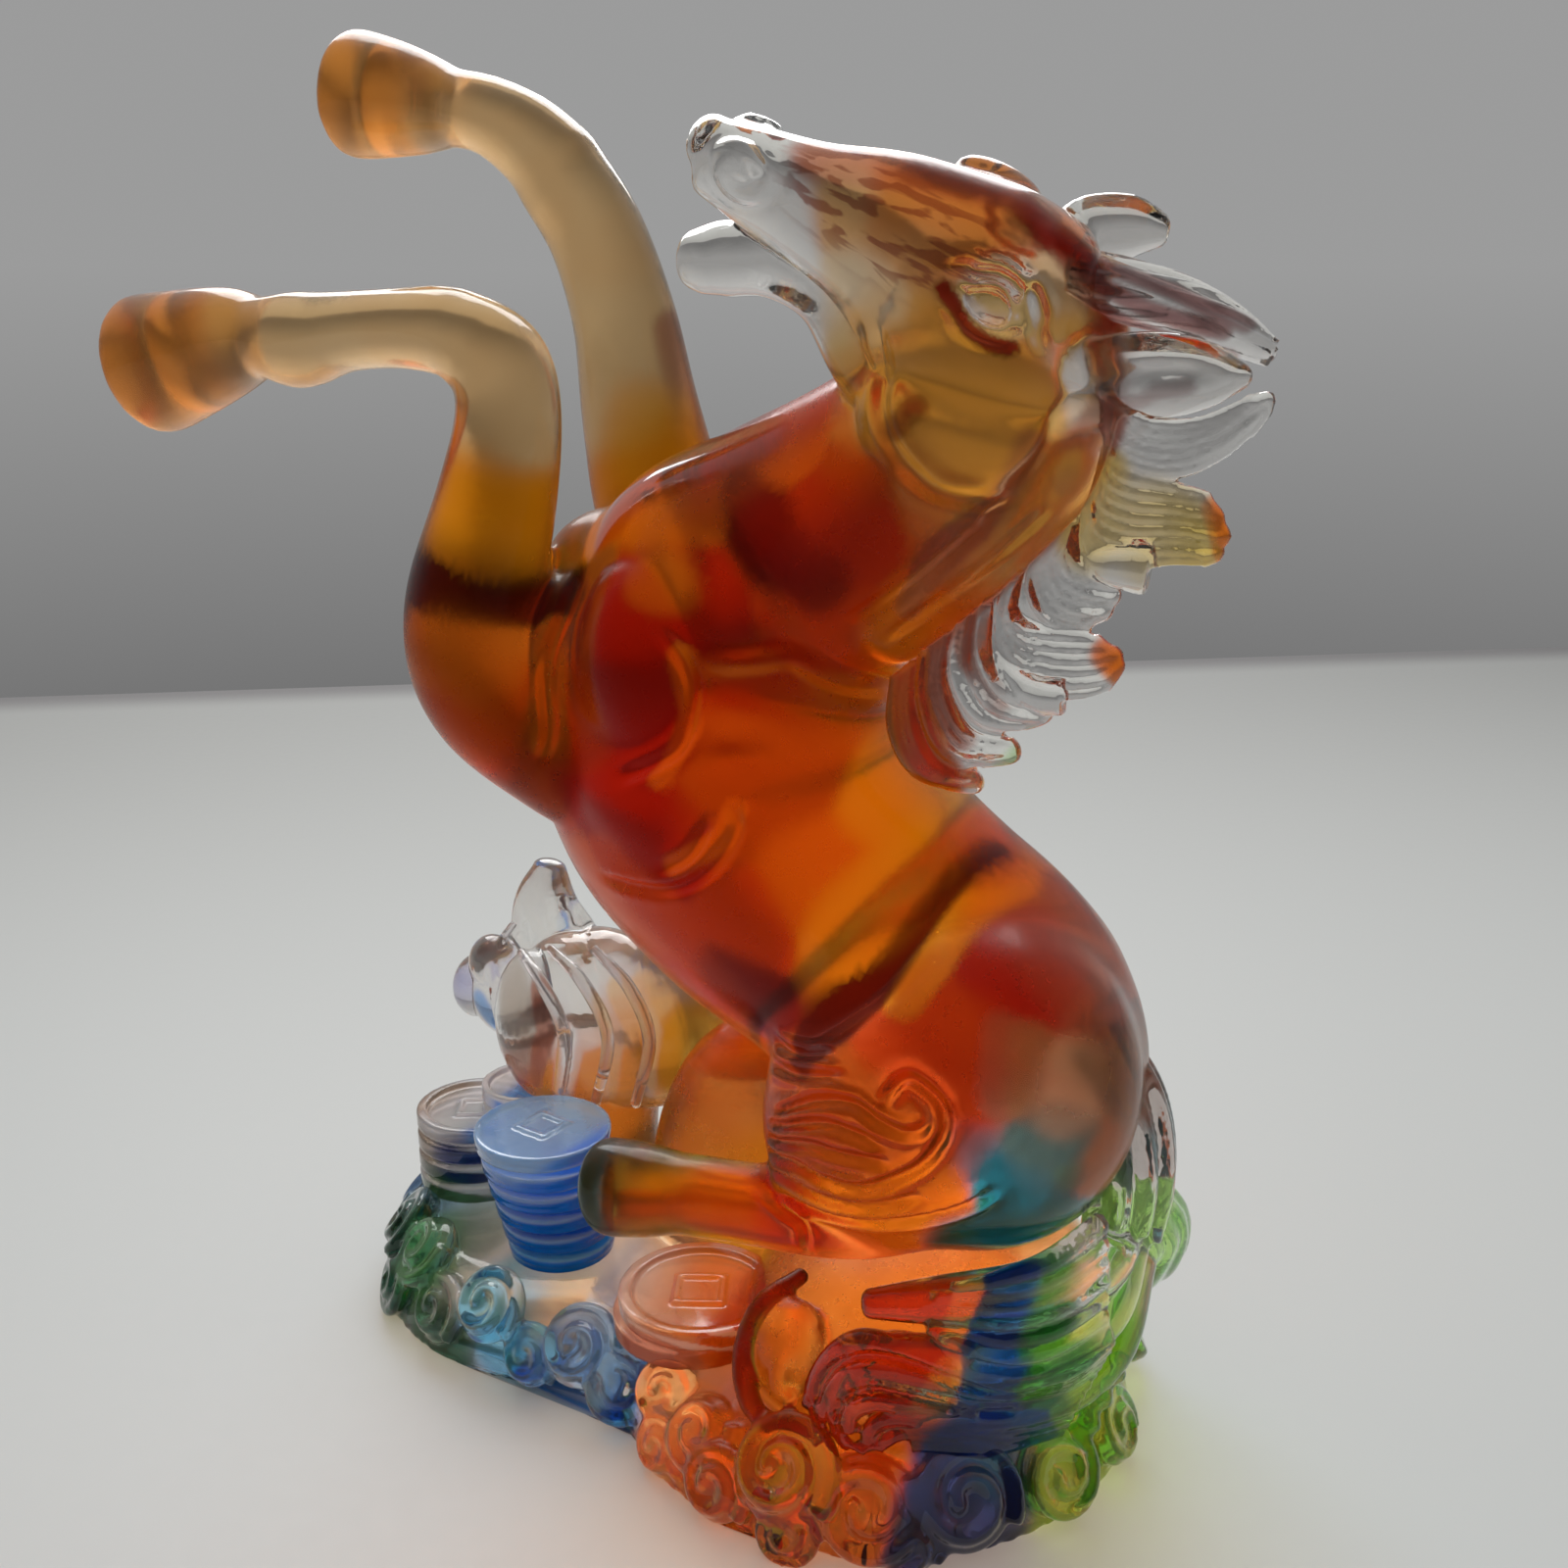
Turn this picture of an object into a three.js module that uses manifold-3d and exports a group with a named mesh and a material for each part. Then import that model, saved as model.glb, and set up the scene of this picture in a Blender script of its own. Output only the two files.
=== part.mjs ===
// Cast glass figurine: a rearing horse on a two-lobed base of clouds, coins and an ingot.
// Millimetres, +Z up. The origin is the centre of the base underside.
// The horse faces -X; its left side faces -Y.
import * as THREE from "three";
import { ParametricGeometry } from "three/addons/geometries/ParametricGeometry.js";
import { mergeVertices } from "three/addons/utils/BufferGeometryUtils.js";
import Module from "manifold-3d";

const wasm = await Module();
wasm.setup();

// Clearance left between any two neighbouring pieces.
const GAP = 0.3;

// Base: two round lobes in plan, joined by a soft waist.
const BASE_HEIGHT = 10;
const FRONT_LOBE = 26;
const REAR_LOBE = 31;
const LOBE_SPACING = 48;
const WAIST = 21;
const BASE_EDGE = 5;
const LOBE_ENDS = [68, 110];
const BASE_LENGTH = FRONT_LOBE + LOBE_SPACING + REAR_LOBE;
const FRONT_X = FRONT_LOBE - BASE_LENGTH / 2;
const REAR_X = FRONT_X + LOBE_SPACING;

// Cloud mound under the haunches; its crown carries the horse. A ledge of the base shows round it.
const MOUND_HEIGHT = 17;
const MOUND_X = REAR_X;
const LEDGE_ALONG = 4;
const LEDGE_ACROSS = 3.5;
const MOUND_LENGTH = REAR_LOBE - LEDGE_ALONG;
const MOUND_WIDTH = REAR_LOBE - LEDGE_ACROSS;
const SEAT = BASE_HEIGHT + MOUND_HEIGHT;
const SPUR_AT = [-1, 9, BASE_HEIGHT];
const SPUR_SIZE = [14, 12.5, 31];

// Cash coins: thickness, rim and the square hole through the middle.
const COIN_THICKNESS = 2.7;
const COIN_BEVEL = 0.5;
const COIN_RIM = 1.6;
const COIN_SINK = 0.45;
const COIN_HOLE = 4.6;
const COIN_SIDES = 18;

// Front coin stack: slightly narrower at the foot than at the top.
const STACK_COUNT = 6;
const STACK_FOOT = 7.6;
const STACK_TOP = 9.6;
const STACK_OFFSET = 5;
const STACK_X = FRONT_X + STACK_OFFSET;
const STACK_Y = -9.5;
const STACK_LEAN = -0.5;

// Rear coin stack, near the far left end of the base.
const PILE_COUNT = 4;
const PILE_RADIUS = 8.4;
const PILE_OFFSET = -16.4;
const PILE_X = FRONT_X + PILE_OFFSET;
const PILE_Y = -1;

// Two large coins lying flat by the hind foot.
const LARGE_COIN = 10;
const LARGE_X = 3.5;
const LARGE_Y = -15.5;
const LARGE_SLIP = 0.9;

// Every spiral winds in from its full reach to this share of it, and its cord thins by this share.
const SPIRAL_EYE = 0.3;
const SPIRAL_TAPER = 0.25;

// Cloud scrolls round the rim of the base: outer radius, cord radius and turns.
const SCROLL_RADIUS = 6.4;
const SCROLL_CORD = 1.3;
const SCROLL_TURNS = 1.25;
const SCROLL_INSET = 1.6;
const SCROLL_LEAN = 42;
const SCROLL_FRONT = [198, 240, 280, 130];
const SCROLL_REAR = [250, 282, 316, 60];

// Two larger cloud curls lie on the front of the mound, where the tail ends: how high up its
// face they sit, in degrees, and how far their middle stands proud of it.
const CURL_RADIUS = 8.4;
const CURL_CORD = 1.6;
const CURL_TURNS = 1.35;
const CURL_LEAN = 34;
const CURL_RISE = 24;
const CURL_PROUD = 1;
const CURL_BEARINGS = [262, 292];

// Head: turn, lift and tilt in degrees, and where its middle sits above the seat.
const HEAD_TURN = 210;
const HEAD_LIFT = 27;
const HEAD_TILT = 28;
const HEAD_AT = [35, -7, 99.5];
const EYE_RADIUS = 2.8;
const EYE_AT = [2, 8.3, 8];
const EYE_RIM = 0.75;
const NOSTRIL_AT = [29.4, 4.8, 5.4];
const NOSTRIL_RADIUS = 1.7;
const CHEEK_AT = [-0.5, 4.6, -6.5];
const CHEEK_SIZE = [10.4, 5.6, 10.4];

// Stations below: x, y, z of the centre, half depth in the bend, half width across.
const TRUNK = [
  [-18, 0, 75, 8, 9],
  [-12, 0, 66, 17.5, 16],
  [-2, 0, 51.5, 23.5, 19.5],
  [8, 0, 41, 22, 20],
  [20, 0, 33, 20, 18.5],
  [31, 0, 25, 20, 18.5],
  [38, 0, 16, 17.5, 17],
  [42, 0, 8.5, 11, 12],
];
const NECK = [
  [-3, 0, 62, 19, 15],
  [2, -0.5, 68.5, 21, 15.5],
  [12, -1.5, 76.5, 17.6, 12.5],
  [22, -3.5, 84.5, 13.8, 10.5],
  [30, -5.5, 91, 11.4, 9],
  [36, -7, 97, 9.6, 8],
];
const SKULL = [
  [-8, 0, 1.8, 8.2, 6.5],
  [-2, 0, 2.1, 12.1, 9],
  [6, 0, 3.6, 11.8, 9.3],
  [14, 0, 4.6, 8.8, 7.8],
  [22, 0, 4, 6, 6],
  [28, 0, 3.5, 4.6, 5],
  [32, 0, 3.2, 3.8, 4.5],
];
const JAW = [
  [4, 0, -9.6, 5.4, 6.2],
  [13, 0, -6, 4.8, 5.2],
  [21, 0, -4.6, 3.6, 4.4],
  [29.4, 0, -6.2, 2.7, 3.6],
];
const EAR_HOLLOW = [4.4, 1.5, 2.4];
const LEFT_EAR = [
  [-7, 5.8, 5.6, 2.6, 2.2],
  [-10.5, 6.8, 7.2, 4.2, 2.4],
  [-14.5, 7.6, 9.6, 4.6, 2.2],
  [-18, 7.6, 11.6, 3.4, 1.8],
  [-20.6, 7.4, 13, 1.4, 1.2],
];
const RIGHT_EAR = [
  [-1.5, -5, 10.4, 2.4, 2.2],
  [-3, -6.2, 12.4, 3.6, 2.2],
  [-6.4, -6.6, 14.6, 3.4, 2],
  [-9.2, -6.6, 15.8, 1.8, 1.3],
];
const EAR_FACE = [0.2, 1, -0.3];
const FORELOCK = [
  [-2, 0, 10.5, 1.8, 3],
  [-7, 0, 11.4, 2.4, 4],
  [-12.5, -0.5, 12.4, 2.4, 4],
  [-18, -1, 12.8, 2, 3.4],
  [-23.5, -1.2, 12.6, 1.1, 2],
];
const SHOULDER_AT = [-7, 13.5, 58];
const SHOULDER_SIZE = [9.5, 7.5, 10.5];
const ELBOW_AT = [-13, 12.5, 46.5];
const ELBOW_SIZE = [10.5, 7, 7.5];
const LEFT_FOREARM = [
  [-13, -12.5, 51, 7.5, 7],
  [-22.5, -16, 60, 8.8, 8],
  [-25.5, -16, 69, 8.4, 7.8],
  [-22.5, -14.5, 82, 7.1, 6.8],
  [-21, -13.5, 91, 6.3, 5.9],
  [-22, -13, 97, 6, 5.7],
  [-26, -13, 100, 5.6, 5.4],
];
const LEFT_CANNON = [
  [-24, -13, 99, 5.4, 5.2],
  [-29, -13, 101, 5.2, 5],
  [-37, -13, 101.4, 4.7, 4.6],
  [-46, -13, 101, 4.8, 4.7],
  [-53.5, -13, 100.2, 5.9, 5.2],
  [-60, -13, 100.6, 4.8, 4.8],
];
const LEFT_HOOF = [
  [-59, -13, 100.5, 4.6, 4.6],
  [-65, -13, 100, 6.6, 6.3],
  [-73, -13, 98.3, 8, 7.6],
  [-82, -13, 96.4, 9.2, 8.5],
];
const RIGHT_FOREARM = [
  [-8, 12, 62, 8, 7.5],
  [-17, 12.5, 77, 9, 8],
  [-20.5, 12, 91, 7.8, 7.2],
  [-22.5, 12, 102, 6.8, 6.4],
  [-26.5, 12, 112.5, 6.3, 6],
  [-32, 12, 120.6, 6, 5.7],
];
const RIGHT_CANNON = [
  [-31.4, 12, 120, 5.9, 5.6],
  [-37, 12, 124.4, 5.5, 5.2],
  [-43, 12, 127.4, 5.1, 4.9],
  [-48.5, 12, 128.6, 5, 4.8],
];
const RIGHT_HOOF = [
  [-47.5, 12, 128.5, 4.5, 4.5],
  [-53, 12, 129.3, 6.2, 6],
  [-59.5, 12, 130.4, 7.5, 7.2],
  [-66.5, 12, 131.4, 8.3, 7.8],
];
const THIGH = [
  [43, 11, 32, 8, 6.5],
  [40, 14.8, 25, 14.6, 10],
  [33.5, 17.5, 20, 14.6, 9.6],
  [27, 18, 15, 12.4, 8.8],
  [22.5, 18.5, 12, 8, 6.5],
];
const SHANK = [
  [43, 18, 7.6, 5.4, 4.8],
  [37, 19, 6.4, 5.2, 4.8],
  [26, 20, 6, 4.9, 4.6],
  [14, 20, 5.2, 4.8, 4.5],
  [6, 20, 4, 4.9, 4.6],
];
const HIND_HOOF = [
  [7, 20, 4.2, 4.4, 4.2],
  [1, 20, 3, 5.6, 5.2],
  [-6, 20, 1.6, 6.2, 5.6],
];
const RIGHT_HIND_LEAD = 9;
const TAIL_DOCK = [
  [43, 3, 24, 5, 5],
  [49, 2.5, 17.5, 5.4, 5.6],
  [51.5, 1.5, 10, 5, 6.4],
  [51.5, 0, 2.5, 4.4, 6.6],
];
const TAIL_CLEAR = 3;
const TAIL_FOOT = TAIL_CLEAR - MOUND_HEIGHT;
const TAIL_LOCKS = [
  [[51, -1, 8, 4, 3], [51.5, -6, 2.5, 4.4, 3.4], [46.5, -14.5, 1.5, 4, 3.2],
    [39, -22, 2, 3.2, 2.8], [32.5, -25.5, 1.4, 1.8, 1.8]],
  [[52.5, -1, 3.5, 4, 3], [51.5, -6.5, -4, 4.6, 3.6], [46.5, -15, -6.2, 4.2, 3.4],
    [38.5, -22.5, -5.6, 3.6, 3], [31, -26.5, -4.6, 2, 2]],
  [[53, 1, -1, 3.6, 3], [51.5, -3.5, -10.5, 4.6, 3.4], [46.5, -13, TAIL_FOOT, 4.2, 3.2],
    [39.5, -20.5, TAIL_FOOT + 0.2, 3.4, 2.8], [33, -24.5, TAIL_FOOT + 1.6, 1.8, 1.8]],
  [[52, 3, 6, 3.6, 3], [53, 9, -1, 4.4, 3.4], [50.5, 14, -9, 4.2, 3.2],
    [46, 19, -14, 2.8, 2.4]],
];
const TAIL_RIBS = 5;
const TAIL_FACE = [0.6, -0.6, 0.5];
const RIB_DEPTH = 0.12;
const BED_GROW = 2.4 * GAP;
const MANE_LOCKS = [
  [[42, -6, 104, 3.4, 2.6], [52, -6.5, 105.5, 4, 2.2], [58, -7, 103.6, 3.2, 1.8], [63, -7, 100.4, 1.6, 1.1]],
  [[43, -7, 95, 4, 2.6], [50, -8.5, 91.5, 4.6, 2.3], [57, -9, 90, 3.8, 1.9], [62.6, -9, 91, 1.6, 1.1]],
  [[42, -6, 90, 4.2, 2.6], [49, -7.5, 87.5, 5, 2.4], [55.5, -8, 84.6, 4.2, 2], [60, -8, 81, 1.8, 1.2]],
  [[38, -5, 85, 4.2, 2.6], [44.5, -6.5, 81, 5.2, 2.4], [49.5, -7, 76.5, 4.4, 2], [51.5, -7, 72, 1.8, 1.2]],
  [[33.5, -4.5, 78.5, 4.2, 2.6], [39.5, -5.8, 73.8, 5, 2.4], [45.5, -6, 70, 4, 1.9],
    [50, -6, 67.4, 1.6, 1.1]],
  [[29, -4, 72, 4.2, 2.6], [33.5, -5.8, 66, 4.8, 2.4], [39.5, -6.4, 62.4, 3.8, 1.9],
    [45, -6.4, 61, 1.6, 1.1]],
  [[24.5, -4, 66, 4.2, 2.6], [27.5, -7, 60, 4.4, 2.4], [33, -8.4, 57, 3.4, 1.9], [39, -8.6, 56, 1.5, 1.1]],
];
const MANE_RIBS = 5;
const MANE_FACE = [0.5, -0.866, 0.1];
const INGOT = [
  [-53, 9, 34.5, 4.5, 5],
  [-46, 10, 36, 9, 9],
  [-38, 11, 36.5, 13, 12],
  [-30, 12, 36, 14, 12.5],
  [-26.5, 12.4, 35.4, 12.8, 11.6],
  [-24, 12.8, 35, 13.2, 11.8],
  [-21, 13.2, 34.4, 11.6, 10.6],
  [-18.5, 13.4, 34, 11.8, 10.6],
  [-14, 14, 33, 9, 8.5],
];
const INGOT_WING = [
  [-36, 11, 40, 7, 6],
  [-38, 12, 48, 5, 4.4],
  [-39.5, 12.5, 52, 2.6, 2.4],
];
const INGOT_FOOT = [
  [-31, 12, 9, 10.5, 9.5],
  [-31, 12, 16, 9, 8],
  [-30.5, 12, 28, 10, 8.5],
];
const SWIRL_AT = [33, 21.5];
const SWIRL_RADIUS = 4.2;
const SWIRL_CORD = 0.9;
const SWIRL_TURNS = 1.2;
const SWIRL_TAIL = 12;

// Colours of the glass charges.
const GLASS = {
  amber: 0xc8681a,
  red: 0xa83a08,
  straw: 0xc9b183,
  clear: 0xe4e6e4,
  olive: 0xb0903c,
  green: 0x2f8a4a,
  blue: 0x1f5fc4,
  orange: 0xd8691c,
};

const radians = THREE.MathUtils.degToRad;

// A welded closed solid from a three.js geometry.
function toSolid(geometry) {
  geometry.deleteAttribute("normal");
  geometry.deleteAttribute("uv");
  const welded = mergeVertices(geometry, 1e-4);
  const ids = welded.index.array;
  const faces = [];
  for (let i = 0; i < ids.length; i += 3) {
    const [a, b, c] = [ids[i], ids[i + 1], ids[i + 2]];
    if (a !== b && b !== c && c !== a) faces.push(a, b, c);
  }
  return new wasm.Manifold(new wasm.Mesh({
    numProp: 3,
    vertProperties: new Float32Array(welded.attributes.position.array),
    triVerts: new Uint32Array(faces),
  }));
}

// The centre line of a body through stations, and its half sizes along that line.
function spine(stations) {
  const at = stations.map(([x, y, z]) => new THREE.Vector3(x, y, z));
  const size = stations.map(([, , , depth, width]) => new THREE.Vector3(depth, width, 0));
  return [at, size].map((points) => new THREE.CatmullRomCurve3(points, false, "catmullrom", 0.5));
}

// How far out, in y, the face of such a body lies at a given x and z.
function faceAt(stations, x, z) {
  const [path, sizes] = spine(stations);
  const steps = Array.from({ length: 41 }, (_, i) => i / 40);
  const away = (t) => Math.hypot(x - path.getPoint(t).x, z - path.getPoint(t).z);
  const near = steps.reduce((best, t) => (away(t) < away(best) ? t : best));
  const size = sizes.getPoint(near);
  return path.getPoint(near).y + size.y * Math.sqrt(Math.max(0, 1 - (away(near) / size.x) ** 2));
}

// A smooth body through stations, closed by a dome of the given bulge at each end.
function loft(stations, options = {}) {
  const { grow = 0, sides = 14, rings = 2, across = [0, 1, 0], bulge = [0.6, 0.6] } = options;
  const { ribs = 0, ribDepth = 0, domeRings = 2 } = options;
  const [path, sizes] = spine(stations);
  const rows = (stations.length - 1) * rings + 2 * domeRings;
  const span = rows - 2 * domeRings;
  const point = (u, v, target) => {
    const row = v * rows - domeRings;
    const t = THREE.MathUtils.clamp(row / span, 0, 1);
    const end = row < 0 ? row / domeRings : Math.max(0, (row - span) / domeRings);
    const tangent = path.getTangent(t).normalize();
    const side = new THREE.Vector3(...across);
    side.addScaledVector(tangent, -side.dot(tangent)).normalize();
    const normal = new THREE.Vector3().crossVectors(tangent, side);
    const size = sizes.getPoint(t);
    const depth = size.x + grow;
    const width = size.y + grow;
    const scale = Math.abs(end) > 0.999 ? 0 : Math.cos(end * Math.PI / 2);
    const reach = Math.min(depth, width) * (end < 0 ? bulge[0] : bulge[1]) + (end === 0 ? 0 : grow);
    const turn = (u % 1) * 2 * Math.PI;
    const rib = 1 + ribDepth * Math.cos(ribs * turn);
    target.copy(path.getPoint(t));
    target.addScaledVector(tangent, reach * Math.sin(end * Math.PI / 2));
    target.addScaledVector(normal, depth * rib * scale * Math.cos(turn));
    target.addScaledVector(side, -width * rib * scale * Math.sin(turn));
  };
  return toSolid(new ParametricGeometry(point, sides, rows));
}

function ball(at, size, grow = 0, segments = 12) {
  const geometry = new THREE.SphereGeometry(1, segments, Math.round(segments / 2));
  geometry.scale(size[0] + grow, size[1] + grow, size[2] + grow);
  geometry.translate(...at);
  return toSolid(geometry);
}

function block(width, depth, height, at = [0, 0, 0]) {
  const geometry = new THREE.BoxGeometry(width, depth, height);
  geometry.translate(...at);
  return toSolid(geometry);
}

const mirrored = (stations) => stations.map(([x, y, z, depth, width]) => [x, -y, z, depth, width]);
const flip = ([x, y, z]) => [x, -y, z];
const raise = (solid, height) => solid.translate([0, 0, height]);

// The biggest body of a cut, so that no loose chip stays with a piece.
function mainBody(solid) {
  const bodies = solid.decompose();
  return bodies.reduce((big, body) => (body.volume() > big.volume() ? body : big));
}

const cut = (solid, ...tools) => mainBody(tools.reduce((left, tool) => left.subtract(tool), solid));

const figurine = new THREE.Group();
figurine.name = "horse_figurine";
const base = new THREE.Group();
base.name = "base";
const horse = new THREE.Group();
horse.name = "horse";
horse.position.z = SEAT;
const headGroup = new THREE.Group();
headGroup.name = "head_group";
headGroup.position.set(...HEAD_AT);
headGroup.rotation.set(radians(-HEAD_TILT), radians(-HEAD_LIFT), radians(HEAD_TURN), "ZYX");
figurine.add(base, horse);
horse.add(headGroup);
figurine.updateMatrixWorld(true);

// Adds a piece given in its group's own frame.
function put(group, name, solid, colour, roughness = 0.15) {
  const mesh = solid.getMesh();
  const positions = new Float32Array(mesh.numVert * 3);
  for (let i = 0; i < mesh.numVert; i += 1) {
    for (let k = 0; k < 3; k += 1) positions[3 * i + k] = mesh.vertProperties[mesh.numProp * i + k];
  }
  const geometry = new THREE.BufferGeometry();
  geometry.setAttribute("position", new THREE.BufferAttribute(positions, 3));
  geometry.setIndex(new THREE.BufferAttribute(new Uint32Array(mesh.triVerts), 1));
  geometry.computeVertexNormals();
  const material = new THREE.MeshStandardMaterial({ color: colour, roughness, metalness: 0 });
  const node = new THREE.Mesh(geometry, material);
  node.name = name;
  group.add(node);
  return node;
}

// The two-lobed plan outline, drawn in by an inset.
function planOutline(inset) {
  const front = FRONT_LOBE - inset;
  const rear = REAR_LOBE - inset;
  const waist = WAIST - inset;
  const middle = (FRONT_X + REAR_X) / 2;
  const [frontEnd, rearEnd] = LOBE_ENDS.map(radians);
  const outline = new THREE.Shape();
  outline.absarc(FRONT_X, 0, front, frontEnd, 2 * Math.PI - frontEnd, false);
  outline.quadraticCurveTo(middle, -waist, REAR_X + rear * Math.cos(rearEnd), -rear * Math.sin(rearEnd));
  outline.absarc(REAR_X, 0, rear, -rearEnd, rearEnd, false);
  outline.quadraticCurveTo(middle, waist, FRONT_X + front * Math.cos(frontEnd), front * Math.sin(frontEnd));
  return outline;
}

// Plinth: a flat-footed slab whose upper edge rounds over into the top.
function plinth(grow = 0) {
  const pillow = new THREE.ExtrudeGeometry(planOutline(BASE_EDGE - grow), {
    depth: BASE_HEIGHT - 2 * BASE_EDGE + 0.5 + grow,
    bevelThickness: BASE_EDGE,
    bevelSize: BASE_EDGE,
    bevelSegments: 2,
    curveSegments: 7,
  });
  pillow.translate(0, 0, BASE_EDGE - 0.5);
  const slab = new THREE.ExtrudeGeometry(planOutline(-grow), {
    depth: BASE_HEIGHT - BASE_EDGE + grow,
    bevelEnabled: false,
    curveSegments: 7,
  });
  const foot = block(4 * BASE_LENGTH, 4 * BASE_LENGTH, BASE_EDGE, [0, 0, -BASE_EDGE / 2 - grow]);
  return toSolid(pillow).add(toSolid(slab)).subtract(foot);
}

function mound(grow = 0) {
  return ball([MOUND_X, 0, BASE_HEIGHT], [MOUND_LENGTH, MOUND_WIDTH, MOUND_HEIGHT], grow, 16)
    .add(ball(SPUR_AT, SPUR_SIZE, grow));
}

// A coin standing on z = 0: rounded edge, sunk field and, if pierced, a square hole.
function coin(radius, pierced) {
  const field = radius - COIN_RIM;
  const face = COIN_THICKNESS - (pierced ? COIN_SINK : 0);
  const profile = [
    new THREE.Vector2(0, 0),
    new THREE.Vector2(radius, 0),
    new THREE.Vector2(radius, COIN_THICKNESS - COIN_BEVEL),
    new THREE.Vector2(radius - COIN_BEVEL, COIN_THICKNESS),
  ];
  if (pierced) {
    profile.push(new THREE.Vector2(field, COIN_THICKNESS), new THREE.Vector2(field - COIN_SINK, face));
  }
  profile.push(new THREE.Vector2(0, face));
  const geometry = new THREE.LatheGeometry(profile, COIN_SIDES);
  geometry.rotateX(Math.PI / 2);
  const disc = toSolid(geometry);
  if (!pierced) return disc;
  return disc.subtract(block(COIN_HOLE, COIN_HOLE, 3 * COIN_THICKNESS));
}

// The room that a coin standing at a place takes up, with its clearance.
function coinRoom(radius, at) {
  const reach = radius + GAP;
  const room = new THREE.CylinderGeometry(reach, reach, COIN_THICKNESS + 2 * GAP, COIN_SIDES);
  room.rotateX(Math.PI / 2);
  room.translate(at.x, at.y, at.z + COIN_THICKNESS / 2);
  return toSolid(room);
}

// Stations of a flat spiral cord in the plane y = 0, winding inwards from its tail.
function spiral(radius, cord, turns, tail = 0) {
  const steps = Math.round(turns * 8);
  const stations = [];
  if (tail > 0) {
    stations.push([-tail, 0, -radius * 1.3, cord * 0.45, cord * 0.45]);
    stations.push([-tail * 0.5, 0, -radius * 0.75, cord * 0.8, cord * 0.8]);
  }
  for (let i = 0; i <= steps; i += 1) {
    const part = i / steps;
    const angle = -Math.PI / 2 + part * turns * 2 * Math.PI;
    const reach = (radius - cord) * (1 - (1 - SPIRAL_EYE) * part);
    const thick = cord * (1 - SPIRAL_TAPER * part);
    stations.push([reach * Math.cos(angle), 0, reach * Math.sin(angle), thick, thick]);
  }
  return stations;
}

const cordOptions = { sides: 5, rings: 1, domeRings: 1, bulge: [0.5, 0.8] };
const scroll = (radius, cord, turns, grow) => loft(spiral(radius, cord, turns), { ...cordOptions, grow });

const onTop = BASE_HEIGHT + GAP;
const plinthSolid = plinth();
const plinthCutter = plinth(GAP);
put(base, "base_plinth", plinthSolid, GLASS.green, 0.2);

// Coins: the leaning front stack, the rear stack and the two large coins by the hind foot.
const stackCutters = [];
for (let i = 0; i < STACK_COUNT; i += 1) {
  const radius = STACK_FOOT + (STACK_TOP - STACK_FOOT) * i / (STACK_COUNT - 1);
  const node = put(base, `stack_coin_${i + 1}`, coin(radius, i === STACK_COUNT - 1), GLASS.blue);
  node.position.set(STACK_X + STACK_LEAN * i, STACK_Y, onTop + i * (COIN_THICKNESS + GAP));
  stackCutters.push(coinRoom(radius, node.position));
}
for (let i = 0; i < PILE_COUNT; i += 1) {
  const node = put(base, `pile_coin_${i + 1}`, coin(PILE_RADIUS, i === PILE_COUNT - 1), GLASS.clear);
  node.position.set(PILE_X, PILE_Y, onTop + i * (COIN_THICKNESS + GAP));
  stackCutters.push(coinRoom(PILE_RADIUS, node.position));
}
const largeCutters = [];
for (let i = 0; i < 2; i += 1) {
  const node = put(base, `large_coin_${i + 1}`, coin(LARGE_COIN, true), GLASS.orange);
  node.position.set(LARGE_X + i * LARGE_SLIP, LARGE_Y, onTop + i * (COIN_THICKNESS + GAP));
  largeCutters.push(coinRoom(LARGE_COIN, node.position));
}

const moundSolid = cut(mound(), plinthCutter, ...largeCutters, ...stackCutters);
put(base, "cloud_mound", moundSolid, GLASS.orange);

// Cloud scrolls stand against the rim, facing outwards.
const scrollCutters = [];
const scrollTools = (grow) => scroll(SCROLL_RADIUS, SCROLL_CORD, SCROLL_TURNS, grow);
const rims = [
  ...SCROLL_FRONT.map((angle) => [FRONT_X, FRONT_LOBE, angle]),
  ...SCROLL_REAR.map((angle) => [REAR_X, REAR_LOBE, angle]),
];
rims.forEach(([x, lobe, angle], i) => {
  const place = new THREE.Group();
  place.name = `scroll_place_${i + 1}`;
  const bearing = radians(angle);
  const reach = lobe - SCROLL_INSET;
  place.position.set(x + reach * Math.cos(bearing), reach * Math.sin(bearing), BASE_HEIGHT - SCROLL_INSET);
  place.rotation.set(radians(-SCROLL_LEAN), 0, bearing + Math.PI / 2, "ZYX");
  base.add(place);
  place.updateMatrixWorld(true);
  const back = place.matrixWorld.clone().invert().elements;
  const tools = [plinthCutter, mound(GAP), ...stackCutters, ...largeCutters, ...scrollCutters]
    .map((tool) => tool.transform(back));
  const colour = i < SCROLL_FRONT.length ? GLASS.blue : GLASS.orange;
  put(place, `cloud_scroll_${i + 1}`, cut(scrollTools(0), ...tools), colour);
  scrollCutters.push(scrollTools(GAP).transform(place.matrixWorld.elements));
});

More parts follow.
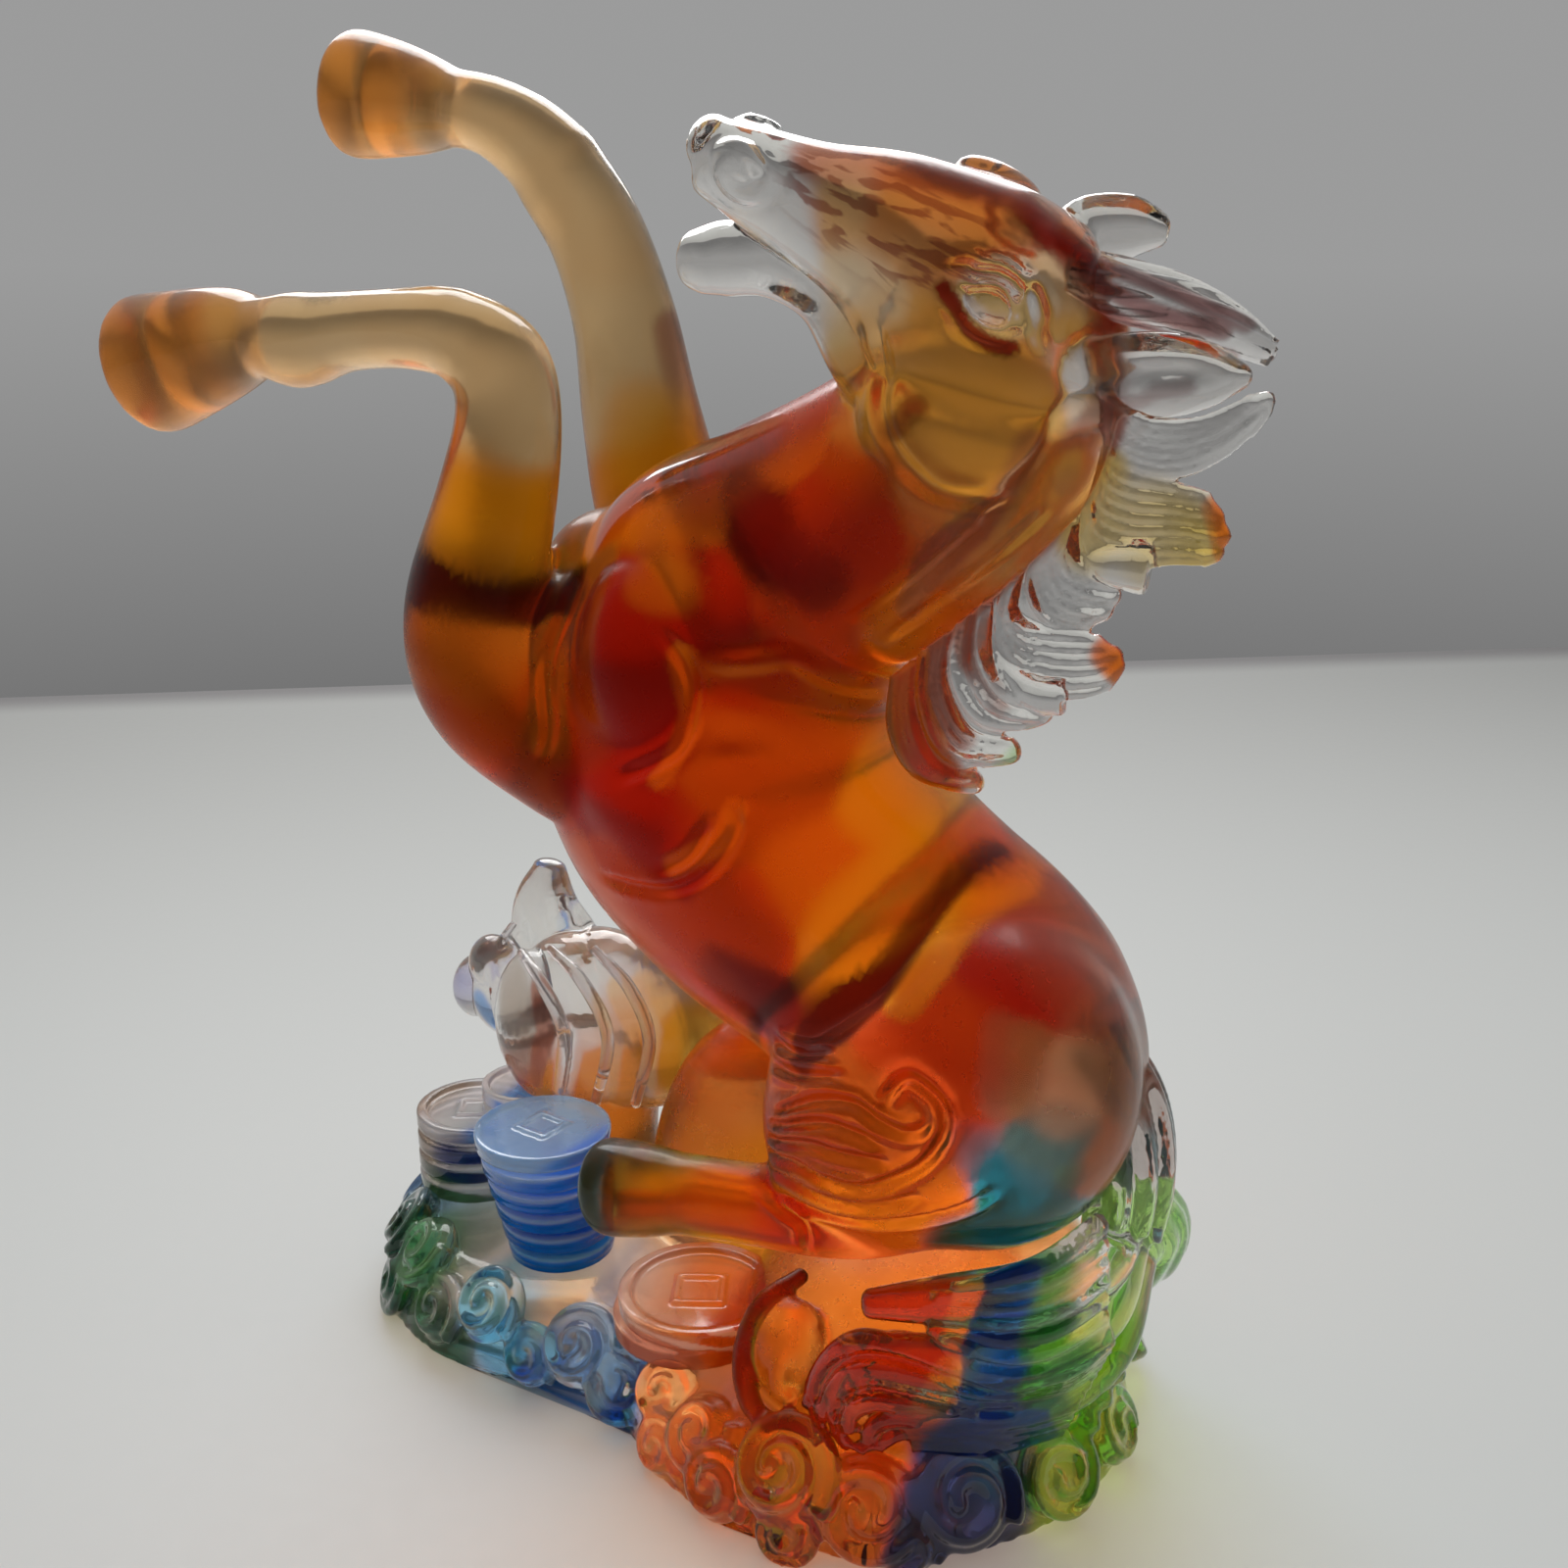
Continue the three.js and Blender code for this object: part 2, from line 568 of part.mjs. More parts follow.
// Curls lean back against the mound.
const curlTools = (grow) => scroll(CURL_RADIUS, CURL_CORD, CURL_TURNS, grow);
CURL_BEARINGS.forEach((angle, i) => {
  const place = new THREE.Group();
  place.name = `curl_place_${i + 1}`;
  const bearing = radians(angle);
  const rise = radians(CURL_RISE);
  place.position.set(
    MOUND_X + (MOUND_LENGTH + CURL_PROUD) * Math.cos(rise) * Math.cos(bearing),
    (MOUND_WIDTH + CURL_PROUD) * Math.cos(rise) * Math.sin(bearing),
    BASE_HEIGHT + (MOUND_HEIGHT + CURL_PROUD) * Math.sin(rise),
  );
  place.rotation.set(radians(-CURL_LEAN), 0, bearing + Math.PI / 2, "ZYX");
  base.add(place);
  place.updateMatrixWorld(true);
  const back = place.matrixWorld.clone().invert().elements;
  const tools = [plinthCutter, mound(GAP), ...largeCutters, ...scrollCutters]
    .map((tool) => tool.transform(back));
  put(place, `cloud_curl_${i + 1}`, cut(curlTools(0), ...tools), GLASS.orange);
  scrollCutters.push(curlTools(GAP).transform(place.matrixWorld.elements));
});

const ingot = (grow) => loft(INGOT, { sides: 12, rings: 1, bulge: [0.8, 0.5], grow })
  .add(loft(INGOT_WING, { sides: 10, grow }))
  .add(loft(INGOT_FOOT, { sides: 12, bulge: [0, 0.2], grow }));
put(base, "ingot", cut(ingot(0), plinthCutter, mound(GAP), ...stackCutters, ...scrollCutters), GLASS.clear);

// Trunk with its shoulder and elbow muscles, both sides.
const trunk = (grow) => loft(TRUNK, { grow, sides: 14, rings: 2, bulge: [0.7, 0.6] })
  .add(ball(flip(SHOULDER_AT), SHOULDER_SIZE, grow))
  .add(ball(SHOULDER_AT, SHOULDER_SIZE, grow))
  .add(ball(flip(ELBOW_AT), ELBOW_SIZE, grow))
  .add(ball(ELBOW_AT, ELBOW_SIZE, grow));
const onSeat = [raise(mound(GAP), -SEAT), raise(ingot(GAP), -SEAT)];
const trunkSolid = cut(trunk(0), ...onSeat);
const trunkCutter = trunk(GAP);
put(horse, "trunk", trunkSolid, GLASS.red);

// Head pieces in the head's own frame: x to the muzzle, y to its left, z to the crown.
const skull = (grow) => loft(SKULL, { grow, sides: 12, rings: 1, bulge: [0.7, 0.5] })
  .add(ball(CHEEK_AT, CHEEK_SIZE, grow, 10))
  .add(ball(flip(CHEEK_AT), CHEEK_SIZE, grow, 10));
const eye = (at, grow) => ball(at, [EYE_RADIUS, EYE_RADIUS, EYE_RADIUS], grow, 10);
const nostril = (at) => ball(at, [NOSTRIL_RADIUS * 1.3, NOSTRIL_RADIUS, NOSTRIL_RADIUS], 0, 8);
function eyeRim(at) {
  const ring = new THREE.TorusGeometry(EYE_RADIUS + EYE_RIM, EYE_RIM, 4, 10);
  ring.rotateX(Math.PI / 2);
  ring.translate(at[0], at[1] + Math.sign(at[1]) * EYE_RIM, at[2]);
  return toSolid(ring);
}
const face = (grow) => skull(grow).add(eyeRim(EYE_AT)).add(eyeRim(flip(EYE_AT)));
const skullSolid = cut(
  face(0), eye(EYE_AT, GAP), eye(flip(EYE_AT), GAP), nostril(NOSTRIL_AT), nostril(flip(NOSTRIL_AT)));
put(headGroup, "head", skullSolid, GLASS.olive);
put(headGroup, "eye_left", eye(EYE_AT, 0), GLASS.clear, 0.05);
put(headGroup, "eye_right", eye(flip(EYE_AT), 0), GLASS.clear, 0.05);
const jaw = (grow) => loft(JAW, { grow, sides: 10, rings: 1, bulge: [0.6, 0.7] });
put(headGroup, "lower_jaw", cut(jaw(0), face(GAP)), GLASS.clear);
const earOptions = { sides: 8, domeRings: 1, across: EAR_FACE };
const earHollow = (at) => ball([at[0] - 1, at[1] + Math.sign(at[1]) * 2.2, at[2]], EAR_HOLLOW, 0, 8);
const ear = (stations, grow) => loft(stations, { ...earOptions, grow });
const forelockOptions = { sides: 10, ribs: TAIL_RIBS, ribDepth: RIB_DEPTH, domeRings: 1 };
const forelock = (grow) => loft(FORELOCK, { ...forelockOptions, grow });
const forelockSolid = cut(forelock(0), face(GAP));
put(headGroup, "forelock", forelockSolid, GLASS.red);
for (const [name, stations] of [["left", LEFT_EAR], ["right", RIGHT_EAR]]) {
  const rooms = [face(GAP), forelock(GAP), eye(EYE_AT, GAP), eye(flip(EYE_AT), GAP)];
  const leaf = cut(ear(stations, 0), ...rooms, earHollow(stations[1]));
  put(headGroup, `ear_${name}`, leaf, GLASS.clear, 0.05);
}

// Neck: runs into both the trunk and the head, and gives way to them.
headGroup.updateMatrix();
const inHorse = (solid) => solid.transform(headGroup.matrix.elements);
const headPieces = [face(GAP), jaw(GAP), forelock(GAP), ear(LEFT_EAR, GAP), ear(RIGHT_EAR, GAP)];
const headCutters = headPieces.map(inHorse);
const neck = (grow) => loft(NECK, { grow, sides: 12, rings: 1, bulge: [0.3, 0.5] });
put(horse, "neck", cut(neck(0), trunkCutter, ...headCutters), GLASS.amber);
const bodyCutters = [trunkCutter, neck(GAP), ...headCutters];

// The plain bed that a ribbed lock lies in: its ribs and the clearance are taken in.
function bed(stations, across) {
  const crest = 1 + RIB_DEPTH;
  const full = stations.map(([x, y, z, depth, width]) => [x, y, z, depth * crest, width * crest]);
  return loft(full, { sides: 8, rings: 2, domeRings: 1, across, grow: BED_GROW });
}

// Mane: ribbed locks rooted in the crest of the neck, each lying against the one above.
const maneOptions = {
  sides: 10, rings: 2, domeRings: 1, across: MANE_FACE, ribs: MANE_RIBS, ribDepth: RIB_DEPTH,
};
const maneCutters = [];
MANE_LOCKS.forEach((stations, i) => {
  const lock = loft(stations, maneOptions);
  put(horse, `mane_lock_${i + 1}`, cut(lock, ...bodyCutters, ...maneCutters), GLASS.clear, 0.08);
  maneCutters.push(bed(stations, MANE_FACE));
});

// Forelegs: forearm out of the shoulder, cannon from the knee, hoof from the pastern.
const limbOptions = { sides: 10, rings: 1, domeRings: 1 };
const limb = (stations, grow, bulge = [0.6, 0.6]) => loft(stations, { ...limbOptions, grow, bulge });
for (const [name, forearm, cannon, hoof] of [
  ["left", LEFT_FOREARM, LEFT_CANNON, LEFT_HOOF],
  ["right", RIGHT_FOREARM, RIGHT_CANNON, RIGHT_HOOF],
]) {
  put(horse, `foreleg_${name}_forearm`, cut(limb(forearm, 0), trunkCutter, neck(GAP)), GLASS.straw);
  put(horse, `foreleg_${name}_cannon`, cut(limb(cannon, 0), limb(forearm, GAP)), GLASS.straw);
  put(horse, `foreleg_${name}_hoof`, cut(limb(hoof, 0, [0.3, 0.06]), limb(cannon, GAP)), GLASS.amber);
}

// Hind legs: folded under the haunch, feet forward on the base.
const ground = [plinthCutter, ...stackCutters, ...largeCutters, ...scrollCutters];
const groundCutters = [...onSeat, ...ground.map((tool) => raise(tool, -SEAT))];
const hindCutters = [];
const swirl = spiral(SWIRL_RADIUS, SWIRL_CORD, SWIRL_TURNS, SWIRL_TAIL).map(([x, , z, depth, width]) => {
  const [px, pz] = [SWIRL_AT[0] + x, SWIRL_AT[1] + z];
  return [px, faceAt(THIGH, px, pz) + GAP, pz, depth, width];
});
const ahead = (stations) => stations.map(([x, ...rest]) => [x - RIGHT_HIND_LEAD, ...rest]);
for (const [name, side] of [["left", mirrored], ["right", ahead]]) {
  const thigh = (grow) => loft(side(THIGH), { grow, sides: 12 });
  const shank = (grow) => limb(side(SHANK), grow);
  put(horse, `hind_${name}_thigh`, cut(thigh(0), trunkCutter, ...groundCutters), GLASS.amber);
  put(horse, `hind_${name}_shank`, cut(shank(0), trunkCutter, thigh(GAP), ...groundCutters), GLASS.orange);
  const foot = limb(side(HIND_HOOF), 0, [0.4, 0.3]);
  put(horse, `hind_${name}_hoof`, cut(foot, shank(GAP), ...groundCutters), GLASS.orange);
  const curl = loft(side(swirl), cordOptions);
  put(horse, `thigh_swirl_${name}`, cut(curl, thigh(GAP), trunkCutter, shank(GAP)), GLASS.orange);
  hindCutters.push(thigh(GAP), shank(GAP));
}

// Tail: a clear dock, then ribbed locks swept round the end of the base.
const dock = (grow) => loft(TAIL_DOCK, { grow, sides: 12 });
const tailCutters = [trunkCutter, ...hindCutters, ...groundCutters];
put(horse, "tail_dock", cut(dock(0), ...tailCutters), GLASS.clear);
tailCutters.push(dock(GAP));
TAIL_LOCKS.forEach((stations, i) => {
  const lock = loft(stations, {
    sides: 10, rings: 1, domeRings: 1, across: TAIL_FACE, ribs: TAIL_RIBS, ribDepth: RIB_DEPTH,
  });
  put(horse, `tail_lock_${i + 1}`, cut(lock, ...tailCutters), i < 3 ? GLASS.green : GLASS.clear);
  tailCutters.push(bed(stations, TAIL_FACE));
});

export default figurine;
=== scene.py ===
# %% [markdown]
# A rearing horse in cast glass, on a base of clouds, coins and an ingot.
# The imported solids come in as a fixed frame. Everything below dresses that frame, in the
# same place and at the same size, so nothing is moved or fitted afterwards.

# %% Load the frame
import math

import bpy
import numpy as np
from mathutils import Matrix, Vector, kdtree
from mathutils.bvhtree import BVHTree


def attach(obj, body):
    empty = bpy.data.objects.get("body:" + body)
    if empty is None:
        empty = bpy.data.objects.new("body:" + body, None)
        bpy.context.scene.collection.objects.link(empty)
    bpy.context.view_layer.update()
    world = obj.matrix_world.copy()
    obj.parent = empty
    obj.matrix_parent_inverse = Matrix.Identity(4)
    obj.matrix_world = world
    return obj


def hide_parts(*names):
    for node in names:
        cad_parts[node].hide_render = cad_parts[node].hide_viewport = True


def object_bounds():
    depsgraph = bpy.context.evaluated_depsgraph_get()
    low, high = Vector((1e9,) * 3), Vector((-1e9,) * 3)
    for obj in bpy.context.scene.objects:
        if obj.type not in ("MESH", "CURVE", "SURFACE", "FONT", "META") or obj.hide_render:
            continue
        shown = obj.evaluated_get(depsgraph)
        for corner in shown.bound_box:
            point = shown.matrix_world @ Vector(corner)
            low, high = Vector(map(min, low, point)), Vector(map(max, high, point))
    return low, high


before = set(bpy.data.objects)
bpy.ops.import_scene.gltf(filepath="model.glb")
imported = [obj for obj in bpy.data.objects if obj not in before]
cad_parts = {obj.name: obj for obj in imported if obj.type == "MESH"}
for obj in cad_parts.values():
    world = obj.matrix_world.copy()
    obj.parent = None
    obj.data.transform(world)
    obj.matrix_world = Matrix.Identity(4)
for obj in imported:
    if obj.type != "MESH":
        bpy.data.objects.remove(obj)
cad_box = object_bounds()
MM = 0.001
SEAT = 27.0
corners = [tuple(round(v, 4) for v in corner) for corner in cad_box]
print("frame:", len(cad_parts), "nodes, box", corners)

# %% [markdown]
# Places are written as text, which keeps long lists short: numbers with spaces between
# them, a comma after each place and a semicolon after each line of places. They are all in
# millimetres. A curve runs smoothly through the places of a line.

# %% Places and curves
def points(text):
    """The places of one line, as a list of tuples."""
    return [tuple(float(n) for n in place.split()) for place in text.split(",")]


def lines(text):
    """Several lines of places."""
    return [points(line) for line in text.split(";")]


def unit(rows):
    """Rows of vectors, each brought to length one."""
    return rows / np.maximum(np.linalg.norm(rows, axis=-1, keepdims=True), 1e-9)


def spline(marks, steps):
    """Rows on a smooth curve through given marks."""
    marks = np.array(marks, float)
    ghost = np.vstack([2 * marks[0] - marks[1], marks, 2 * marks[-1] - marks[-2]])
    rows = []
    for a, b, c, d in zip(ghost, ghost[1:], ghost[2:], ghost[3:]):
        for t in np.arange(steps) / steps:
            bend = 2 * a - 5 * b + 4 * c - d
            twist = 3 * b - a - 3 * c + d
            rows.append(0.5 * (2 * b + (c - a) * t + bend * t**2 + twist * t**3))
    rows.append(marks[-1])
    return np.array(rows)


def lengths(rows):
    """How far along a curve each of its rows lies."""
    return np.concatenate([[0], np.cumsum(np.linalg.norm(np.diff(rows, axis=0), axis=1))])


def resample(rows, at):
    """The rows of a curve at the given lengths along it."""
    runs = lengths(rows)
    return np.stack([np.interp(at, runs, column) for column in rows.T], axis=1)


def lifted(stations):
    """Stations given above the seat, brought into the frame."""
    return [(x, y, z + SEAT, *rest) for x, y, z, *rest in stations]


def mirrored(stations):
    """Stations on the other side of the horse."""
    return [(x, -y, z, *rest) for x, y, z, *rest in stations]


# %% [markdown]
# The whole sculpture is one soft casting, so its forms run into each other with no seam.
# Such a shape could be sculpted by hand. Here each form is a smooth loft, a sphere or a
# round cord, and a voxel remesh melts them together, which stays easy to change.
# A loft is a row of ellipses: x, y, z of the middle, half depth and half width.

# %% Lofts, spheres and cords
def choose(*pieces):
    """Selects pieces and nothing else. The first one becomes active."""
    bpy.ops.object.select_all(action="DESELECT")
    for piece in pieces:
        piece.select_set(True)
    bpy.context.view_layer.objects.active = pieces[0]


def linked(name, data):
    """A new object in the scene."""
    piece = bpy.data.objects.new(name, data)
    bpy.context.scene.collection.objects.link(piece)
    return piece


def rail(rows, across):
    """The path of a loft with its forward, sideways and upright directions."""
    path = rows[:, :3]
    tangent = unit(np.gradient(path, axis=0))
    across = np.array(across, float)
    side = unit(across - (tangent @ across)[:, None] * tangent)
    return path, tangent, side, np.cross(tangent, side)


def loft(name, stations, across=(0, 1, 0), bulge=(0.6, 0.6), place=None, sides=32, rings=8,
         dome=5):
    """A closed body through stations, rounded at both ends by domes of the given bulge."""
    rows = spline(stations, rings)
    path, tangent, side, normal = rail(rows, across)
    turn = np.linspace(0, 2 * math.pi, sides, endpoint=False)
    wheel = np.stack([np.cos(turn), np.sin(turn)], axis=1)

    def hoop(i, scale=1.0, shift=0.0):
        reach = wheel * rows[i, 3:5] * scale
        return path[i] + shift * tangent[i] + reach @ np.stack([normal[i], side[i]])

    def cap(i, share):
        angles = np.arange(1, dome) / dome * math.pi / 2
        depth = share * min(rows[i, 3:5])
        hoops = [hoop(i, math.cos(a), depth * math.sin(a)) for a in angles]
        return hoops, path[i] + depth * tangent[i]

    start, first = cap(0, -bulge[0])
    end, last = cap(len(rows) - 1, bulge[1])
    hoops = start[::-1] + [hoop(i) for i in range(len(rows))] + end
    corners = np.vstack([first[None], *hoops, last[None]]) * MM
    faces = []
    for r in range(len(hoops) - 1):
        for k in range(sides):
            n = (k + 1) % sides
            a, b = 1 + r * sides, 1 + (r + 1) * sides
            faces.append((a + k, a + n, b + n, b + k))
    tip = len(corners) - 1
    for k in range(sides):
        n = (k + 1) % sides
        faces.append((0, 1 + n, 1 + k))
        faces.append((tip, tip - sides + k, tip - sides + n))
    mesh = bpy.data.meshes.new(name)
    mesh.from_pydata(corners.tolist(), [], faces)
    if place is not None:
        mesh.transform(place)
    return linked(name, mesh)


def turned(turn):
    """The rotation of a turn given in degrees about x, then y, then z."""
    x, y, z = (Matrix.Rotation(math.radians(a), 3, axis) for a, axis in zip(turn, "XYZ"))
    return (z @ y @ x).to_quaternion()


def ball(name, at, size, turn=(0, 0, 0), place=None):
    """A sphere shaped into an ellipsoid by its middle, half sizes and turn."""
    bpy.ops.object.select_all(action="DESELECT")
    bpy.ops.mesh.primitive_uv_sphere_add(segments=32, ring_count=18, radius=MM)
    piece = bpy.context.object
    piece.name = name
    spin = Matrix.LocRotScale(Vector(at) * MM, turned(turn), Vector(size))
    piece.data.transform(spin if place is None else place @ spin)
    return piece


def balls(name, rows, place=None):
    """Ellipsoids from rows of numbers: three for the middle, three for the size, then the turn."""
    return [ball(name, row[:3], row[3:6], row[6:] or (0, 0, 0), place) for row in rows]


def cords(name, paths, place=None):
    """Round cords along paths of x, y, z and radius, all in one mesh."""
    curve = bpy.data.curves.new(name, "CURVE")
    curve.dimensions = "3D"
    curve.bevel_depth = MM
    curve.bevel_resolution = 3
    curve.use_fill_caps = True
    for path in paths:
        line = curve.splines.new("POLY")
        line.points.add(len(path) - 1)
        for point, (x, y, z, radius) in zip(line.points, path):
            point.co = (x * MM, y * MM, z * MM, 1)
            point.radius = radius
    choose(linked(name, curve))
    bpy.ops.object.convert(target="MESH")
    piece = bpy.context.object
    if place is not None:
        piece.data.transform(place)
    return piece


# %% [markdown]
# The melt. The forms are joined, a voxel remesh gives them one skin, and smoothing takes
# the steps off it. A smaller voxel keeps finer detail. Afterwards the mesh is thinned to
# the number of triangles that its detail needs.

# %% Melting forms together
def modify(piece, kind, **settings):
    """Adds a modifier and applies it."""
    choose(piece)
    bpy.ops.object.modifier_add(type=kind)
    modifier = piece.modifiers[-1]
    for key, value in settings.items():
        setattr(modifier, key, value)
    bpy.ops.object.modifier_apply(modifier=modifier.name)


def fuse(name, forms, voxel, soften):
    """Joins forms, melts them into one skin and softens it."""
    choose(*forms)
    if len(forms) > 1:
        bpy.ops.object.join()
    piece = bpy.context.object
    piece.name = name
    piece.data.name = name
    modify(piece, "REMESH", mode="VOXEL", voxel_size=voxel * MM, adaptivity=0)
    modify(piece, "SMOOTH", factor=0.5, iterations=soften)
    return piece


def triangles(piece):
    """How many triangles the faces of a mesh come to."""
    return sum(len(face.vertices) - 2 for face in piece.data.polygons)


def thin(piece, most):
    """Brings a mesh down to a number of triangles, and shades it smooth."""
    count = triangles(piece)
    if count > most:
        modify(piece, "DECIMATE", ratio=most / count, use_collapse_triangulate=True)
        modify(piece, "SMOOTH", factor=0.45, iterations=2)
    choose(piece)
    bpy.ops.object.shade_smooth()
    print(f"{piece.name}: {count} triangles melted, {triangles(piece)} kept")


# %% [markdown]
# Carved lines are pressed into the soft skin afterwards, as a sculptor draws a tool over
# wax. Each line is a few given points. They are laid on the skin, and every vertex
# near the line moves along its own normal: down in the groove, up a little beside it.

# %% Carving
LIP_AT, LIP_WIDTH = 1.8, 0.8
END_FADE, END_LEAST = 4, 0.05


def arrays(piece):
    """Vertex places in millimetres and vertex normals of a mesh."""
    count = len(piece.data.vertices)
    places = np.empty(count * 3)
    piece.data.vertices.foreach_get("co", places)
    normals = np.empty(count * 3)
    piece.data.vertex_normals.foreach_get("vector", normals)
    return places.reshape(-1, 3) / MM, normals.reshape(-1, 3)


def skin_tree(piece, places):
    """The skin of a mesh, ready to be searched."""
    return BVHTree.FromPolygons(places.tolist(), [face.vertices for face in piece.data.polygons])


def carve(piece, paths, width, depth, lip=0.3, reach=3.0, step=0.35):
    """Presses lines into a mesh; a negative depth raises a ridge instead."""
    places, normals = arrays(piece)
    skin = skin_tree(piece, places)
    shift = np.zeros(len(places))
    for path in paths:
        rows = spline(path, 12)
        length = lengths(rows)[-1]
        at = np.arange(0, length, step)
        rows = np.array([skin.find_nearest(Vector(row))[0] for row in resample(rows, at)])
        fade = np.clip(np.minimum(at, length - at) / (END_FADE * width), END_LEAST, 1)
        tree = kdtree.KDTree(len(rows))
        for i, row in enumerate(rows):
            tree.insert(row, i)
        tree.balance()
        low, high = rows.min(0) - reach * width, rows.max(0) + reach * width
        for i in np.where(((places > low) & (places < high)).all(1))[0]:
            _, nearest, away = tree.find(places[i])
            if away < reach * width:
                share = away / width
                beside = math.exp(-((share - LIP_AT) / LIP_WIDTH) ** 2)
                press = lip * beside - math.exp(-share**2)
                shift[i] += press * depth * fade[nearest]
    most = 2 * abs(depth)
    moved = (places + normals * np.clip(shift, -most, most)[:, None]) * MM
    piece.data.vertices.foreach_set("co", moved.ravel())
    piece.data.update()


# %% [markdown]
# Colour. Coloured glass of this kind is melted from charges of different colours, so one
# casting runs from straw through orange and red into green and blue. A charge is a name, a
# colour and a haze, where no haze is as clear as water.

# %% Glass charges
def linear(text):
    """A colour written in hexadecimal, as linear light."""
    parts = np.array([int(text[i:i + 2], 16) / 255 for i in (0, 2, 4)])
    return np.where(parts <= 0.04045, parts / 12.92, ((parts + 0.055) / 1.055) ** 2.4)


CHARGES = {}
for charge in """
    clear f6f4f0 0.03, rose ecd2c4 0.12, smoke c9bfba 0.05, frost e9e4e6 0.2, lilac a7a6dc 0.14,
    grey b49a86 0.2, straw f9cd90 0.16, honey f39c42 0.2, gold fb9a0c 0.26, amber dc6c14 0.28,
    olive dc860e 0.22, orange ee6a06 0.28, flame ff6c20 0.24, ember dd3804 0.28, rust c04402 0.28,
    red aa0a04 0.28, crimson c92804 0.28, maroon 680602 0.26, wine 3c0402 0.26, mist d2b494 0.34,
    glint c23a06 0.08, brown a2523d 0.22, umber a07146 0.24, peach ea9240 0.14, coral d0603a 0.14,
    green 268e26 0.06, lime 8ade2a 0.04, leaf 2a5a30 0.08, forest 083c16 0.1, teal 2c5c68 0.2,
    sea 02527c 0.16, blue 0460cc 0.1, azure 0080f4 0.12, cobalt 0340a4 0.05, cyan 5ac0e8 0.05,
    sky 9cc4ea 0.05, navy 081664 0.07, yellow f8d060 0.05, spice c64404 0.07, tawny d25604 0.06,
    henna b03404 0.26, sun ffb60c 0.2, khaki e8a23c 0.2""".split(","):
    name, colour, haze = charge.split()
    CHARGES[name] = linear(colour), float(haze)
print(len(CHARGES), "charges of glass")

# %% [markdown]
# Each piece is painted from a short table of zones: a charge, a radius and a force, then a
# colon and the places it runs through. The zones blend where they meet, and the blend is
# stored on the vertices. Thick glass comes out deeper in colour than thin glass.

# %% Painting by zones
def zones(*texts):
    """Zones of colour written as text, with a semicolon after each zone."""
    rows = []
    for zone in ";".join(texts).split(";"):
        head, marks = zone.split(":")
        charge, radius, force = head.split()
        rows.append((charge, points(marks), float(radius), float(force)))
    return rows


def swirl(places, size, reach):
    """Moves places about by slow waves, so that zones meet in wisps and not in circles."""
    x, y, z = (places / size).T
    waves = [np.sin(2.1 * z + 1.3 * y) + 0.6 * np.sin(4.7 * x + 2.9 * z),
             np.sin(1.9 * x + 0.7 * z) + 0.6 * np.sin(5.3 * y + 2.3 * x),
             np.sin(2.3 * x + 1.1 * y) + 0.6 * np.sin(4.1 * z + 3.1 * y)]
    return places + reach * np.stack(waves, axis=1)


def span(places, marks):
    """Squared distance from places to a point, or to the line through several points."""
    marks = np.array(marks)
    gaps = [((places - mark) ** 2).sum(1) for mark in marks]
    for a, b in zip(marks, marks[1:]):
        share = np.clip((places - a) @ (b - a) / ((b - a) @ (b - a)), 0, 1)
        gaps.append(((places - a - share[:, None] * (b - a)) ** 2).sum(1))
    return np.min(gaps, axis=0)


def thickness(piece, start=0.2, limit=80, rounds=12):
    """How much glass lies behind each vertex, evened out over the neighbours."""
    places, normals = arrays(piece)
    skin = skin_tree(piece, places)
    found = np.empty(len(places))
    for i, (place, normal) in enumerate(zip(places, normals)):
        inward = Vector(-normal)
        gap = skin.ray_cast(Vector(place) + inward * start, inward, limit)[3]
        found[i] = limit if gap is None else gap
    ends = np.empty(2 * len(piece.data.edges), int)
    piece.data.edges.foreach_get("vertices", ends)
    a, b = ends.reshape(-1, 2).T
    count = len(found)
    near = 1 + np.bincount(a, minlength=count) + np.bincount(b, minlength=count)
    for _ in range(rounds):
        found = (found + np.bincount(a, found[b], count) + np.bincount(b, found[a], count)) / near
    return found


def store(piece, name, values):
    """Keeps one number for each vertex, for the glass to read."""
    piece.data.attributes.new(name, "FLOAT", "POINT").data.foreach_set("value", values)


WISP_SIZE = 14.0
FLATTEN = (1, 0.45, 1)
SKIRT, SKIRT_FALL = 1e-3, 0.6
THIN_POWER, THICK_POWER = 0.8, 0.35


def paint(piece, table, deep=60.0, wisp=0.5):
    """Stores the blended charge colour and haze on the vertices of a piece."""
    moved = swirl(arrays(piece)[0], WISP_SIZE, wisp) * FLATTEN
    count = len(moved)
    tint, haze, total = np.zeros((count, 3)), np.zeros(count), np.full(count, 1e-12)
    for charge, marks, radius, force in table:
        colour, cloud = CHARGES[charge]
        gap = span(moved, np.array(marks) * FLATTEN)
        ratio = np.minimum(gap / radius**2, 60)
        core, skirt = np.exp(-ratio**2), SKIRT * np.exp(-SKIRT_FALL * ratio)
        share = force * (core + skirt) + 1e-9 / (1 + gap)
        tint += share[:, None] * colour
        haze += share * cloud
        total += share
    depth = THIN_POWER + THICK_POWER * np.clip(thickness(piece) / deep, 0, 1)
    tint = (tint / total[:, None]) ** depth[:, None]
    layer = piece.data.color_attributes.new("glass_tint", "FLOAT_COLOR", "POINT")
    layer.data.foreach_set("color", np.hstack([tint, np.ones((count, 1))]).ravel())
    store(piece, "glass_haze", haze / total)
    print(f"{piece.name}: {len(table)} zones of colour on {count} vertices")


# %% [markdown]
# The glass itself. A wrapper class lets the shader be written as sums and products.

